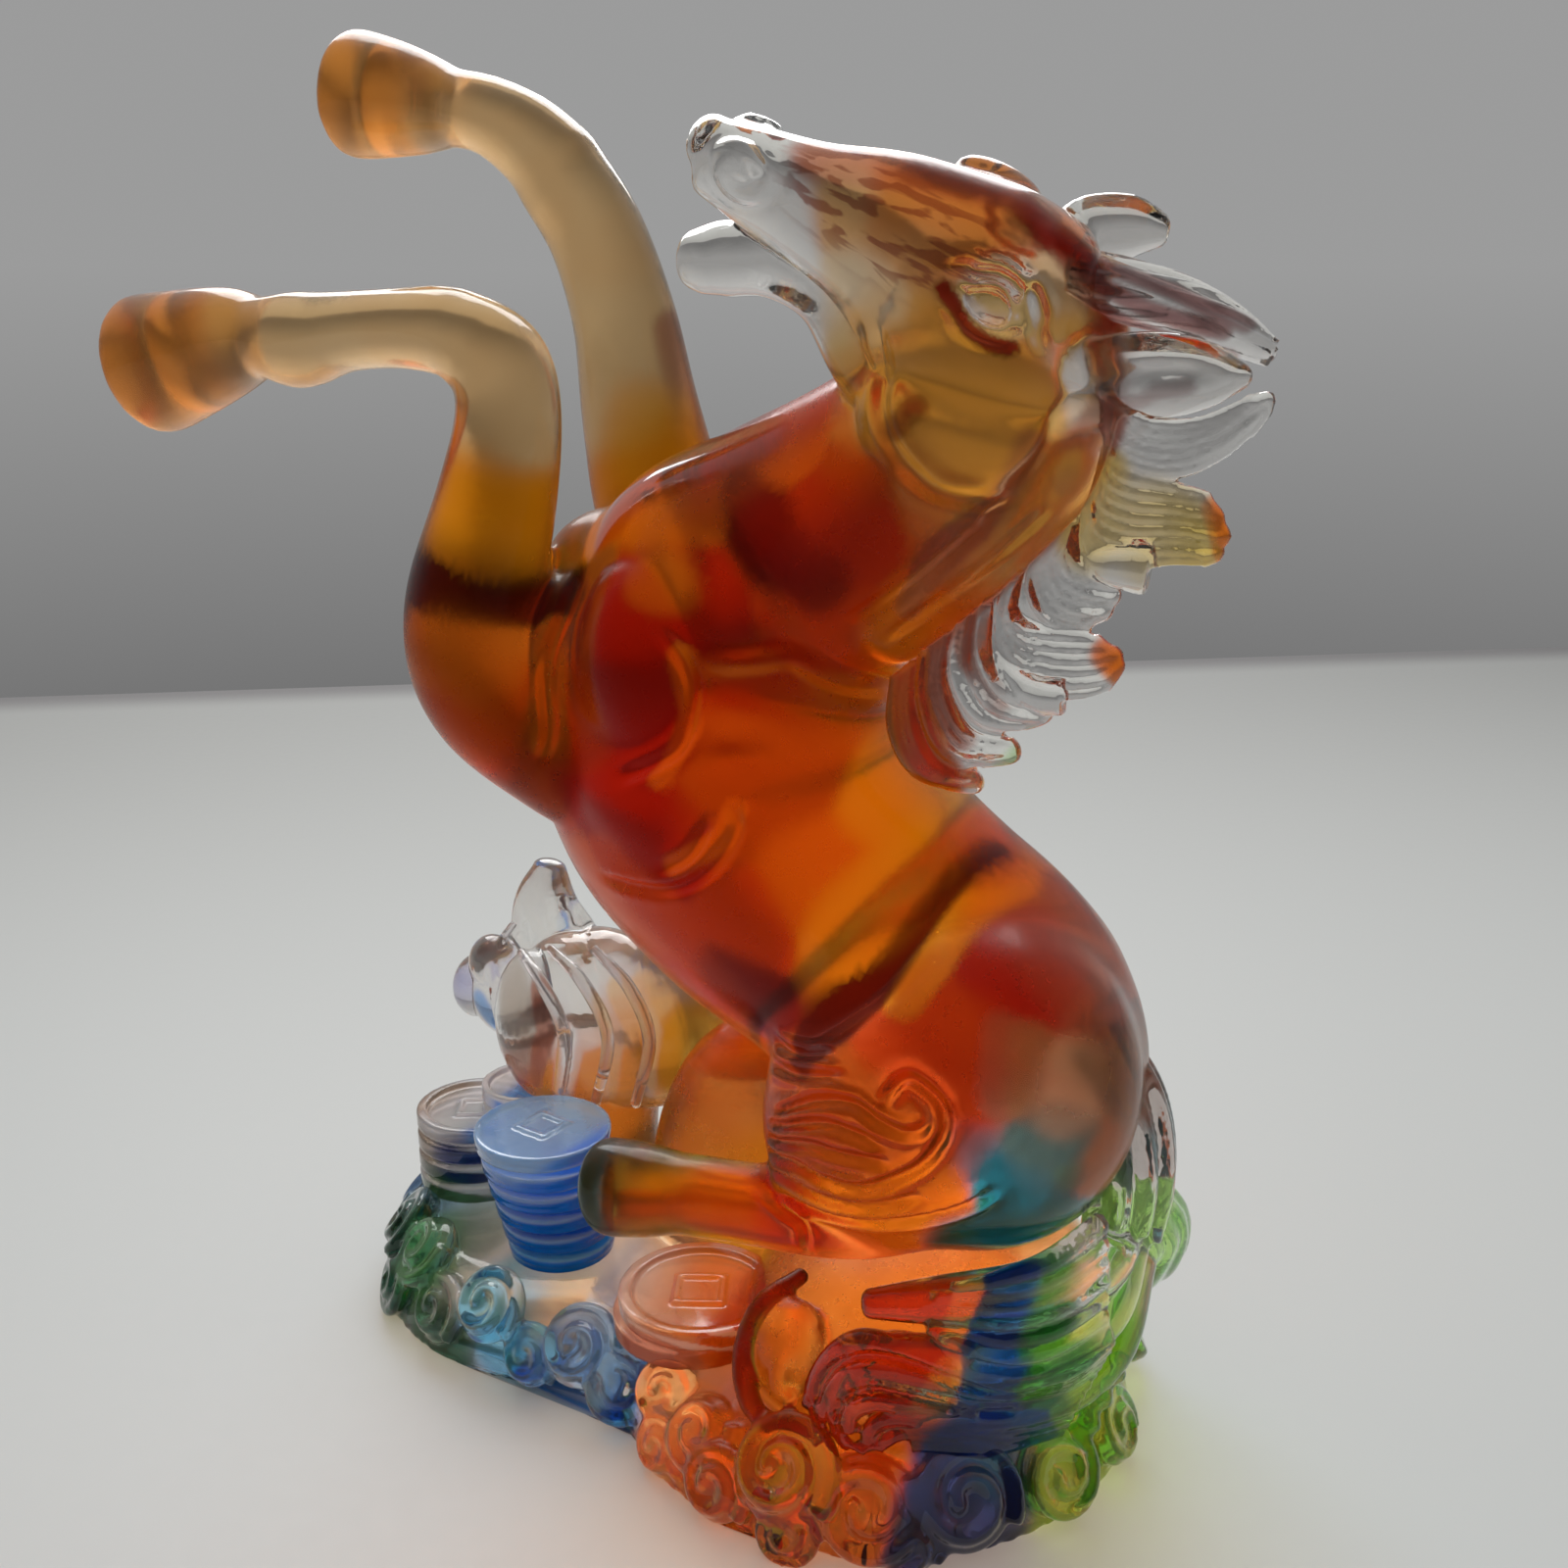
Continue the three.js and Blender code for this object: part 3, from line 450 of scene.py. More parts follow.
# %% Shader wiring
class Wire:
    """A shader socket that takes part in Python sums; node() adds any other node."""

    def __init__(self, tree, socket=None):
        self.tree = tree
        self.socket = socket

    def node(self, kind, settings=None, inputs=None, output=0):
        made = self.tree.nodes.new(kind)
        for key, value in (settings or {}).items():
            setattr(made, key, value)
        for key, value in (inputs or {}).items():
            self.feed(made.inputs[key], value)
        return Wire(self.tree, made.outputs[output])

    def feed(self, socket, value):
        if isinstance(value, Wire):
            self.tree.links.new(value.socket, socket)
        else:
            socket.default_value = value

    def maths(self, operation, a, b):
        return self.node("ShaderNodeMath", {"operation": operation}, {0: a, 1: b})

    def __add__(self, other):
        return self.maths("ADD", self, other)

    def __sub__(self, other):
        return self.maths("SUBTRACT", self, other)

    def __mul__(self, other):
        return self.maths("MULTIPLY", self, other)

    def read(self, attribute, output="Fac"):
        """What is stored on the vertices under a name."""
        return self.node("ShaderNodeAttribute", {"attribute_name": attribute}, output=output)

    def noise(self, place, scale, detail, **inputs):
        settings = {"Vector": place, "Scale": scale, "Detail": detail, **inputs}
        return self.node("ShaderNodeTexNoise", {}, settings)

    def between(self, low, high):
        """This value as black below one stop and white above the other."""
        ramp = self.node("ShaderNodeValToRGB", {}, {0: self})
        for stop, position in zip(ramp.socket.node.color_ramp.elements, (low, high)):
            stop.position = position
        return ramp

    def scaled(self, low, high, first=0.0, last=1.0, kind="LINEAR"):
        """This value brought from one range to another."""
        ends = {0: self, 1: low, 2: high, 3: first, 4: last}
        return self.node("ShaderNodeMapRange", {"interpolation_type": kind}, ends)

    def blend(self, first, second):
        """Two colours mixed by this value."""
        return self.node("ShaderNodeMix", {"data_type": "RGBA"}, {0: self, 6: first, 7: second}, 2)


# %% [markdown]
# The colour on the vertices is broken up by stretched noise, which gives the drawn-out
# threads that run in poured glass. The body of the glass is a little cloudy, while the
# polished skin over it is a sharp clear coat that keeps the highlights crisp. Lamps shine
# through the glass as through a tinted film, so that its shadow stays light.

# %% Cast glass
SHADE = (0.88, 0.8, 0.72, 1)
LINE = (0.22, 0.022, 0.005, 1)
HAIR_SIZE = (0.013, 0.0011, 0.0011)
THREAD_STOPS, HAIR_STOPS = (0.34, 0.74), (0.49, 0.56)
SEED_GRAIN, SWELL_GRAIN = 700.0, 160.0
SWELL_HEIGHT = 0.002
CLEAR_HAZE, CLOUDY_HAZE = 0.04, 0.24
GLASS_IOR = 1.5
COAT_ROUGHNESS = 0.04
COAT_ON_CLOUDY = 0.05


def glass(name, streak, grain, detail=4.0, ripple=0.03, sheen=0.04, clarity=1.0, draw=(0, 0, 0)):
    """A cast glass whose colour and haze come from the vertices of its piece."""
    material = bpy.data.materials.new(name)
    material.use_nodes = True
    tree = material.node_tree
    shader = tree.nodes["Principled BSDF"]
    start = Wire(tree)
    place = start.node("ShaderNodeTexCoord", output="Object")
    tint = start.read("glass_tint", "Color")
    haze = start.read("glass_haze")
    threads = start.noise(place, grain, detail, Roughness=0.5, Distortion=0.8)
    threads = threads.between(*THREAD_STOPS)
    deeper = start.node("ShaderNodeMix", {"data_type": "RGBA", "blend_type": "MULTIPLY"},
                        {0: 1.0, 6: tint, 7: tint}, 2)
    colour = (threads * streak).blend(tint, deeper)
    drawn = start.node("ShaderNodeMapping", {"vector_type": "TEXTURE"},
                       {"Vector": place, "Rotation": draw, "Scale": HAIR_SIZE})
    hairs = start.noise(drawn, 1.0, 2.0, Distortion=0.5).between(*HAIR_STOPS)
    colour = (hairs * start.read("glass_lines")).blend(colour, LINE)
    seeds = start.noise(place, SEED_GRAIN, 2.0)
    coat = haze.scaled(CLEAR_HAZE, CLOUDY_HAZE, 1.0, COAT_ON_CLOUDY)
    swell = start.noise(place, SWELL_GRAIN, 3.0)
    bump = start.node("ShaderNodeBump", {},
                      {"Strength": ripple, "Distance": SWELL_HEIGHT, "Height": swell})
    sockets = {"Base Color": colour, "Roughness": haze + seeds * 0.06 - 0.03, "Normal": bump,
               "Coat Weight": coat, "Coat Roughness": COAT_ROUGHNESS, "Coat IOR": GLASS_IOR,
               "IOR": GLASS_IOR, "Transmission Weight": clarity,
               "Specular Tint": (sheen, sheen, sheen, 1)}
    for socket, value in sockets.items():
        start.feed(shader.inputs[socket], value)
    film = start.node("ShaderNodeBsdfTransparent", {}, {"Color": SHADE})
    shadow = start.node("ShaderNodeLightPath", output="Is Shadow Ray")
    skin = Wire(tree, shader.outputs["BSDF"])
    mixed = start.node("ShaderNodeMixShader", {}, {0: shadow, 1: skin, 2: film})
    start.feed(tree.nodes["Material Output"].inputs["Surface"], mixed)
    return material


def dress(piece, material, slot, *nodes):
    """Gives a finished piece its glass and its place among the nodes of the frame."""
    piece.data.materials.clear()
    piece.data.materials.append(material)
    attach(piece, "root")
    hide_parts(*nodes)


def numbered(name, count):
    """Node names with numbers from one up."""
    return [f"{name}_{i + 1}" for i in range(count)]


# %% [markdown]
# The horse's trunk, neck and legs. They could be grown from a box by extruding, but a
# loft through ellipses follows the swell of muscle better and needs only a few numbers.
# The numbers are those of the solids in the frame, above the seat, with more rings.

# %% Trunk, neck and legs
TRUNK = points("""
    -18 0 75 8 9, -12 0 66 17.5 16, -2 0 51.5 23.5 19.5, 8 0 41 22 20, 20 0 33 20 18.5,
    31 0 25 20 18.5, 38 0 16 17.5 17, 42 0 8.5 11 12""")
NECK = points("""
    -3 0 62 19 15, 2 -0.5 68.5 21 15.5, 12 -1.5 76.5 17.6 12.5, 22 -3.5 84.5 13.8 10.5,
    30 -5.5 91 11.4 9, 36 -7 97 9.6 8""")
CREST = points("""
    46.5 -8 95.5 3.4 3, 43.5 -7.8 88.5 4.2 3.6, 38 -7.4 82.5 4.8 4.2, 31 -7 76.5 5 4.6,
    24 -6.4 71 5 4.6""")
NEAR_FORELEG = lines("""
    -13 -12.5 51 7.5 7, -22.5 -16 60 8.8 8, -25.5 -16 69 8.4 7.8, -22.5 -14.5 82 7.1 6.8,
    -21 -13.5 91 6.3 5.9, -22 -13 97 6 5.7, -26 -13 100 5.6 5.4;
    -24 -13 99 5.4 5.2, -29 -13 101 5.2 5, -37 -13 101.4 4.7 4.6, -46 -13 101 4.8 4.7,
    -53.5 -13 100 5.9 5.2, -60 -13 100.6 4.6 4.7""")
NEAR_HOOF = points("""
    -59 -13 100.5 4.6 4.6, -65 -13 100 6.6 6.3, -73 -13 98.3 8 7.6, -80.5 -13 96.7 9.2 8.5""")
FAR_FORELEG = lines("""
    -8 12 62 8 7.5, -17 12.5 77 9 8, -20.5 12 91 7.8 7.2, -22.5 12 102 6.8 6.4,
    -26.5 12 112.5 6.3 6, -32 12 120 6.2 5.8;
    -31.4 12 120 6 5.7, -37 12 124.4 5.5 5.2, -43 12 127.4 4.9 4.8, -48.5 12 128.6 4.8 4.6""")
FAR_HOOF = points("""
    -47.5 12 128.5 4.5 4.5, -53 12 129.3 6.2 6, -59.5 12 130.4 7.5 7.2, -65.5 12 131.3 8.3 7.8""")
THIGH = points("""
    43 11 32 8 6.5, 39 15.5 25.5 13 9, 33.5 17.5 20 14.6 9.6, 27 18 15 12.4 8.8,
    22.5 18.5 12 8 6.5""")
SHANK = points("""
    41 15 13.5 5 4.6, 34 17.5 9.8 5.2 4.8, 26 19.5 7 5 4.6, 14 20 5.2 4.8 4.5, 6 20 4 4.9 4.6""")
HIND_HOOF = points("7 20 4.2 4.4 4.2, 1 20 3 5.6 5.2, -6 20 1.6 6.2 5.6")
FAR_HIND_LEAD = -9
# Swells of muscle on both sides, and of the quarters: middle, half sizes and turn.
MUSCLES = points("""
    -3 12.9 91.5 8.4 7.2 12.4 0 -6 0, -1 13.4 75.5 12.3 7 7.8 0 24 0, -15 9 88 9 9 13 0 0 0""")
QUARTERS = points("""
    37.5 -9 48.7 17.9 16.5 19.5 0 19 0, 28.5 9 48.7 17.9 16.5 19.5 0 19 0,
    33.4 0 48.5 16.5 22 20.5 0 24 0, 24 -15.5 44 9.5 9.6 13 0 0 0, 15 15.5 44 9.5 9.6 13 0 0 0""")


def forward(stations):
    """The far hind leg stands a little ahead of the near one."""
    return [(x + FAR_HIND_LEAD, *rest) for x, *rest in stations]


def body_forms():
    """Everything but the head. The trunk, quarters and thighs are melted first, and softer."""
    bulk = [loft("trunk_form", lifted(TRUNK), bulge=(0.7, 0.6), sides=48)]
    bulk += balls("quarter_form", QUARTERS)
    bulk += [loft("thigh_form", lifted(side(THIGH))) for side in (mirrored, forward)]
    forms = [fuse("bulk_form", bulk, voxel=1.0, soften=40),
             loft("neck_form", lifted(NECK), bulge=(0.3, 0.5), sides=40),
             loft("crest_form", lifted(CREST))]
    for leg, hoof in ((NEAR_FORELEG, NEAR_HOOF), (FAR_FORELEG, FAR_HOOF)):
        forms += [loft("limb_form", lifted(part)) for part in leg]
        forms.append(loft("hoof_form", lifted(hoof), bulge=(0.3, 0.12)))
    for side in (mirrored, forward):
        forms.append(loft("shank_form", lifted(side(SHANK))))
        forms.append(loft("hind_hoof_form", lifted(side(HIND_HOOF)), bulge=(0.4, 0.3)))
    for muscle in MUSCLES:
        forms += balls("muscle_form", mirrored([muscle]) + [muscle])
    return forms


torso = fuse("torso_form", body_forms(), voxel=0.6, soften=22)
print("torso:", len(torso.data.vertices), "vertices")

# %% [markdown]
# The head is modelled in a frame of its own, muzzle along x and crown along z, and then
# turned over the shoulder. Cheeks, brows, eyes and nostrils are small spheres set on the
# skull, so that the melt gives them soft edges. Lids and lines are drawn on afterwards.

# %% Head
HEAD_AT = (35, -7, 99.5 + SEAT)
HEAD_TURN = (-28, -27, 210)
HEAD = Matrix.LocRotScale(Vector(HEAD_AT) * MM, turned(HEAD_TURN), Vector((1, 1, 1)))
SKULL = points("""
    -8 0 1.8 8.2 6.5, -2 0 2.1 12.1 9, 6 0 3.6 11.8 9.3, 14 0 4.8 8.6 7.8, 22 0 4.4 5.8 6,
    28 0 4.1 4.5 5, 32 0 3.9 3.6 4.5""")
JAW = points("""
    4 0 -9 5.6 6.2, 11 0 -5.6 4.6 5.6, 17 0 -2.6 3.4 4.9, 22.5 0 -2.8 3 4.4, 27 0 -4.6 3.6 4.1,
    30 0 -6.4 2.8 3.5""")
EARS = lines("""
    -7 5.8 5.6 2.6 2.2, -10.5 6.8 7.2 4.2 2.2, -14.5 7.6 9.6 4.6 2, -18 7.6 11.6 3.4 1.6,
    -20.6 7.4 13 1.2 0.9;
    -1.5 -5 10.4 2.4 2.2, -3 -6.2 12.4 3.6 2.2, -6.4 -6.6 14.6 3.4 1.8, -9.2 -6.6 15.8 1.8 1.2""")
FACE_BALLS = points("""
    -0.5 4.6 -6.5 10.4 5.8 10.4, 3.3 7.7 8.2 2.8 2.6 2.5, 29.5 3.4 5.8 2.8 1.9 2.4""")
FACE_ENDS = points("6.5 -6 12.2 5 2.6 2, 33 0 5 2.2 3.6 2.4, 28.4 0 -6.4 3 3.6 2.4")


def head_forms():
    """Skull, jaw, features and ears, put in place on the neck."""
    forms = [loft("skull_form", SKULL, bulge=(0.7, 0.5), place=HEAD),
             loft("jaw_form", JAW, place=HEAD)]
    forms += balls("face_form", mirrored(FACE_BALLS) + FACE_BALLS + FACE_ENDS, HEAD)
    return forms + [loft("ear_form", ear, across=(0.2, 1, -0.3), place=HEAD) for ear in EARS]


horse = fuse("horse_body", [torso] + head_forms(), voxel=0.42, soften=6)
print("horse:", len(horse.data.vertices), "vertices")

# %% [markdown]
# The lines to carve. Those of the face are in the head's own frame; those of the body are
# in the frame of the solids. Most run on both sides: the cheek, the neck, the shoulder,
# the elbow, the flank and the wind-swept curl on the thigh.

# %% Lines of the face and body
CHEEK = points("""
    11.4 8 1.4, 9.6 8.4 -4, 6.1 8.8 -8.2, 1.9 9.7 -10.5, -1.2 10.4 -10.9, -4.6 10.2 -10,
    -9.4 7.5 -7.4""")
UNDER_EYE = points("7.9 9.3 6.4, 6.3 9.3 5.7, 4.2 9.6 4.4, 2.2 9.8 4.3, 0.2 9.8 4.9")
LID = points("""
    9.5 8.6 8.4, 8 8.8 9.4, 5.6 8.9 11.4, 2.8 8.8 12.2, 0 8.9 11.2, -1.6 9.1 9.3, -2.4 9.4 7.5,
    -3.8 9.2 5.9""")
EYE_RING = points("""
    6.8 9 7.9, 6.3 9.2 9.3, 4.9 9.4 10.4, 2.8 9.4 10.7, 0.9 9.4 9.6, 0.2 9.4 7.8, 1.2 9.6 6.2,
    3.3 9.6 5.7, 5.4 9.4 6.4, 6.8 9 7.9""")
NOSTRIL = points("""
    29.7 5.2 8, 27.4 5.4 8.2, 26.4 5.6 6.8, 27 5.8 4.8, 29 5.6 3.9, 30.6 5.4 4.8, 30.2 5.6 6.2,
    29 5.8 6.4""")
EAR_FOLD = points("-9 8.8 6.4, -12 9.4 9.4, -15.5 9.4 11.6, -19 8.6 12.6")
SHOULDER = lines("""
    -14 -9.4 102.8, -13 -14.7 97.5, -13.6 -17.5 91.3, -12.3 -19.3 84.2, -13.3 -20.3 80.1;
    0.7 -17.1 97.6, 4.3 -15.9 92.9, 5.1 -16.2 88.7, 4 -18.2 84, -3.1 -19.2 79.8""")
RIB = lines("4.7 -18.6 82.2, 9.5 -17.1 83.5, 14.9 -14.1 84")
ELBOW = lines("""
    11 -17.8 79.4, 11.9 -18.5 75.9, 8.8 -19.8 71.1, 3 -19.8 68, -7.3 -17.4 67.1;
    9.3 -18.7 78, 6.5 -19.9 72.8, 1.9 -19.9 69.9""")
NECK_RIDGE = lines("""
    5.2 -15.5 93.5, 10.9 -13.8 93.8, 15.5 -12.2 94.4, 19.3 -9.4 91.9, 23.2 -3.4 90.6""")
NECK_LINES = lines("""
    40 -9 113, 36 -10.2 110.5, 30.9 -10.3 105.8, 26.8 -10.7 102.7, 21 -11 98.6;
    43 -10 112, 37 -11 106, 31 -10.5 101.5, 25 -10 97""")
FLANK = lines("""
    20 -20 52, 23.5 -20.6 55.3, 27.2 -19.9 59.1, 30.5 -17.3 62.7, 32.8 -12.7 67.8,
    34.3 -7.5 71.9""")
THIGH_LINES = lines("""
    19.8 -23.3 46.4, 25.4 -25.5 50.4, 30.4 -26.2 51.7, 33.7 -26.6 50.7, 36 -26.4 50.1,
    37.7 -26.1 50.3, 38.7 -25.7 51.5, 38 -25.6 52.6;
    18 -22 41, 23.2 -25.3 42.3, 27.1 -26.6 42.2, 32 -27 42.7, 35.8 -26.8 44.8, 38.9 -26.1 47.3,
    40.6 -25.3 50.8, 39.8 -24.8 53.7, 36.3 -24.8 55.5, 34.6 -25.6 53.9, 34.2 -26.2 52;
    19 -23 44.6, 26.2 -26.1 48.3, 30.7 -26.7 48.8, 34.7 -26.7 48;
    18.6 -22.6 42.8, 25 -26 45.4, 30 -27 46, 35.5 -26.9 46.6;
    17.3 -21.8 36.9, 21 -23.5 36.7, 26.7 -24.9 37, 33.5 -25.8 38.4, 39.1 -25.1 40.4,
    42.9 -23.9 42.3, 45.3 -22.9 44.5;
    17.6 -22 39, 22 -24.6 39.4, 28 -26.2 39.6, 34 -26.6 41, 38.6 -26 43.4;
    16 -18 52.5, 20.7 -21 53.1, 27 -23.9 55.6;
    17 -20 50.6, 22.4 -22.9 51.6, 28.9 -25.1 53.9;
    16.9 -22.3 36.5, 20.5 -23.7 35.6, 23.8 -24.4 34.2, 23.9 -23.7 30.2""")


def both_sides(paths):
    """Lines together with their mirror images."""
    return paths + [mirrored(path) for path in paths]


def in_frame(places):
    """Head places brought into the frame."""
    return [tuple(v / MM for v in HEAD @ (Vector(place) * MM)) for place in places]


def on_face(path):
    """A line drawn on both sides of the head, brought into the frame."""
    return [in_frame(side) for side in both_sides([path])]


carve(horse, on_face(CHEEK), width=0.9, depth=0.5)
carve(horse, on_face(EYE_RING), width=0.5, depth=0.5)
carve(horse, on_face(LID), width=0.62, depth=-0.6, lip=0.4)
carve(horse, on_face(NOSTRIL), width=0.7, depth=-0.55, lip=0.4)
carve(horse, on_face(UNDER_EYE) + NECK_LINES, width=0.5, depth=0.45)
carve(horse, [in_frame(EAR_FOLD)], width=1.1, depth=0.6)
carve(horse, both_sides(SHOULDER + ELBOW), width=0.75, depth=0.7)
carve(horse, both_sides(RIB), width=1.4, depth=0.5, lip=0.2)
carve(horse, both_sides(FLANK), width=1.8, depth=0.9, lip=0)
carve(horse, both_sides(NECK_RIDGE), width=1.1, depth=-0.5, lip=0.4)
carve(horse, both_sides(THIGH_LINES), width=0.55, depth=0.7, lip=0.6)
thin(horse, most=190000)

# %% [markdown]
# Thinning leaves the broad muscles a little restless, which glass shows at once. A vertex
# group picks out the plain skin, away from the head and the carved lines, and a smooth
# modifier that is held to the group settles it.

# %% Settle the plain skin
LINE_MARGIN, LINE_FADE = 1.2, 1.5
HEAD_MARGIN, HEAD_FADE = 36, 6


def settle(piece, paths, rounds):
    """Evens out the plain skin of the body, away from the head and from the carved lines."""
    places, _ = arrays(piece)
    away = np.sqrt(np.min([span(places, path) for path in paths], axis=0))
    head = np.linalg.norm(places - np.array(in_frame([(0, 0, 0)])[0]), axis=1)
    weights = np.clip((away - LINE_MARGIN) / LINE_FADE, 0, 1)
    weights *= np.clip((head - HEAD_MARGIN) / HEAD_FADE, 0, 1)
    group = piece.vertex_groups.new(name="plain_skin")
    for i in np.where(weights > 0)[0]:
        group.add([int(i)], float(weights[i]), "REPLACE")
    modify(piece, "SMOOTH", factor=0.5, iterations=rounds, vertex_group="plain_skin")
    piece.vertex_groups.clear()


BODY_LINES = SHOULDER + ELBOW + RIB + NECK_RIDGE + NECK_LINES + THIGH_LINES
settle(horse, both_sides(BODY_LINES), rounds=8)
print("settled skin round", len(BODY_LINES), "lines on each side")

# %% [markdown]
# The horse's colours, from the hooves to the ears. The far side follows the near one, as
# the zones reach across. The nose also gets fine drawn lines, kept as a number on the
# vertices that fades away from the bridge.

# %% Colour the horse
HORSE_ZONES = zones(
    # Near foreleg.
    """
    honey 6 1: -82 -13 122, -70 -13 126; brown 2 1: -64.5 -13 128;
    straw 7 1: -58 -13 128, -28 -13 128; straw 6 1: -20 -13 118;
    gold 4.4 10: -22 -19 111, -17 -15 107; wine 2.6 30: -27 -22 100.4, -16 -15 99.6;
    amber 5 2: -22 -20 94; rust 5 2: -21 -22 86; ember 5 1: -16 -18 78""",
    # Far foreleg.
    """
    honey 5.5 1: -67 12 158, -57 12 157; brown 2 1: -51 12 156;
    straw 7 1: -45 12 155, -28 12 142, -20 12 122; gold 5 6: -17 12 116, -15 12 108;
    brown 1.5 3: -14 12 128, -13 12 112""",
    # Chest.
    """
    glint 2.4 3: -10 -6 106, 0 -8 113, 10 -8 118; wine 2.6 3: -13 -12 99;
    brown 3 2: -9 -15 100, -9 -16 94""",
    # Shoulder and elbow.
    """
    red 4.4 10: -1 -17.5 92, -0.5 -18.6 85.5; rust 3.4 2: -11 -18 89, -9 -19 83;
    orange 1.1 20: 4.6 -16.6 93, 5 -17.6 87, 1 -19 80; orange 1.4 6: -13 -18 96, -13 -19 84;
    amber 3 2: 2 -14 101; red 4.6 8: -7 -18.5 78.6, 4 -19.8 73.6;
    orange 1.1 20: 11.6 -18 79, 10.6 -19.3 75, 5 -19.8 70.4; ember 3 3: -4 -18 69""",
    # Belly.
    """
    flame 5 6: -9 -10 63, 0 -12 56.5, 9 -11 50; ember 4.6 3: 0 -18 64, 8 -18 57;
    maroon 4.6 10: 13 -18 58; ember 4.5 3: 14 -19 67""",
    # Back and flank.
    """
    rust 6 2: 10 -19 78, 14 -15 84; orange 4 2: 11 -14 90, 20 -8 88; orange 5 2: 21 -15 74;
    sun 4.4 16: 25 -6 80, 30 -6 76, 28 -14.7 69.4; sun 6 8: 22 12 82, 28 12 76, 30 16 68;
    wine 1.7 40: 22 -20.6 54, 27.2 -20 59, 30.5 -17.3 62.7, 33.4 -11 69, 34.6 -5 73;
    gold 2.2 16: 34 -20 62.4, 36.9 -13.4 67.4, 38 -6 70.5""",
    # Rump.
    """
    red 3.6 4: 42 -11 67, 46 -15 63.5; crimson 4.5 4: 36 -23 58, 43 -22 58;
    umber 1.8 4: 47.6 -18.6 60, 47.6 -21 54; brown 1.6 4: 45.6 -20 60.6, 45.4 -22 53.6;
    brown 3.4 3: 42 -4 68, 48 -7 65, 51.5 -8 61; umber 2.6 3: 54 -10 57, 55 -11 51, 54 -14 46;
    mist 2.6 4: 51 -16 58, 51 -19 53; teal 2.8 5: 50.6 -19 51, 49.2 -21 47;
    sea 3.4 16: 46.9 -22 43.6, 47.7 -19 39, 42.5 -20 35.4; leaf 1.5 6: 51.4 -19 46""",
    # Thigh and hind leg.
    """
    henna 5 3: 20 -23 48, 32 -26 49; rust 4 3: 19 -23 40, 36 -26 42;
    orange 3 3: 22 -24 36, 36 -24 37; gold 4 8: 3 -24 31, 14 -24 32.5;
    sun 3 6: 2 -18 32, 12 -17 33; flame 3.4 6: 16 -24 32.5, 28 -23 33;
    teal 2.8 12: -9 -22 28, -6 -24 29.6""",
    # Neck and cheek.
    """
    red 6 1: 3 -8 99; maroon 2.6 4: 9 -12 112, 15 -13 108, 20 -13 104;
    orange 4 1: 0 -8 108, 13 -12 119; crimson 5 1: 22 -13 109; ember 5 1: 20 -11 99;
    orange 4 2: 29 -9 98; rust 4 1: 24 -12 115; khaki 7 1: 33 -10 122, 37 -12 117;
    khaki 4 2: 25 -12 121; maroon 1.4 6: 28.3 -17 119; clear 6 1: 56 -10 126;
    brown 1.2 4: 41 -12 118, 36 -11 108, 29 -10 101""")
FACE_ZONES = zones("""
    clear 4.5 2: 34 0 4, 25 0 4; clear 5 2: 31 0 -7, 22 0 -3; peach 4.5 1: 18 4 9, 9 5 12;
    straw 4 1: 15 6 1; coral 2 4: 24 3 10.4, 14 4 13.2, 8 4 15;
    maroon 1.6 16: 14 4 13.6, 6 4 15.4, -1 4.5 14, -6 5 10.6, -10 6 5; straw 3 1.5: -2 8 11;
    clear 2.2 20: 3.3 10 8.4; clear 0.9 12: 1 9.4 12, -2 9.6 8.5, -3.6 9.4 6;
    clear 4 8: -11 7 7, -20 7 13; maroon 0.8 20: -10 9 5, -12 9 9, -15 9 11;
    brown 1 10: -6.4 7 10, -8.3 8 6.6, -10 8 2, -10 7 -6; clear 3 8: -2 -6 12, -9 -6.6 16;
    khaki 2.6 2: 14 7 -2, 4 9 -2; maroon 1.3 20: 5.5 9 -5.5""") + [("maroon", UNDER_EYE, 0.6, 30)]
NOSE_BRIDGE = points("21 4 9.5, 15 6 9, 9 7 9.5")
NOSE_STRENGTH, NOSE_REACH = 0.9, 24


def face_zones(table):
    """Zones in the head's own frame, brought into the frame of the solids."""
    return [(charge, in_frame(marks), *rest) for charge, marks, *rest in table]


paint(horse, HORSE_ZONES + face_zones(FACE_ZONES), deep=28, wisp=1.0)
bridge = span(arrays(horse)[0], in_frame(NOSE_BRIDGE))
store(horse, "glass_lines", NOSE_STRENGTH * np.clip(1.5 - bridge / NOSE_REACH, 0, 1))
SIDES = ("left", "right")
LIMBS = {"foreleg": ("forearm", "cannon", "hoof"), "hind": ("thigh", "shank", "hoof")}
horse_nodes = ["trunk", "neck", "head", "lower_jaw"]
horse_nodes += [f"{part}_{side}" for part in ("eye", "ear") for side in SIDES]
for limb, parts in LIMBS.items():
    horse_nodes += [f"{limb}_{side}_{part}" for side in SIDES for part in parts]
horse_nodes += [f"thigh_swirl_{side}" for side in SIDES]
horse_glass = glass("horse_glass", streak=0.35, grain=60.0, detail=1.0, ripple=0.04,
                    draw=[math.radians(a) for a in HEAD_TURN])
dress(horse, horse_glass, "glass_amber", *horse_nodes)

# %% [markdown]
# Mane, forelock and tail are locks of hair, melted from round strands of glass so that the
# creases between the strands stay. The mane's strands are combed between two guide lines
# for each lock, drawn as x and z, and lie in two layers that bow outward.

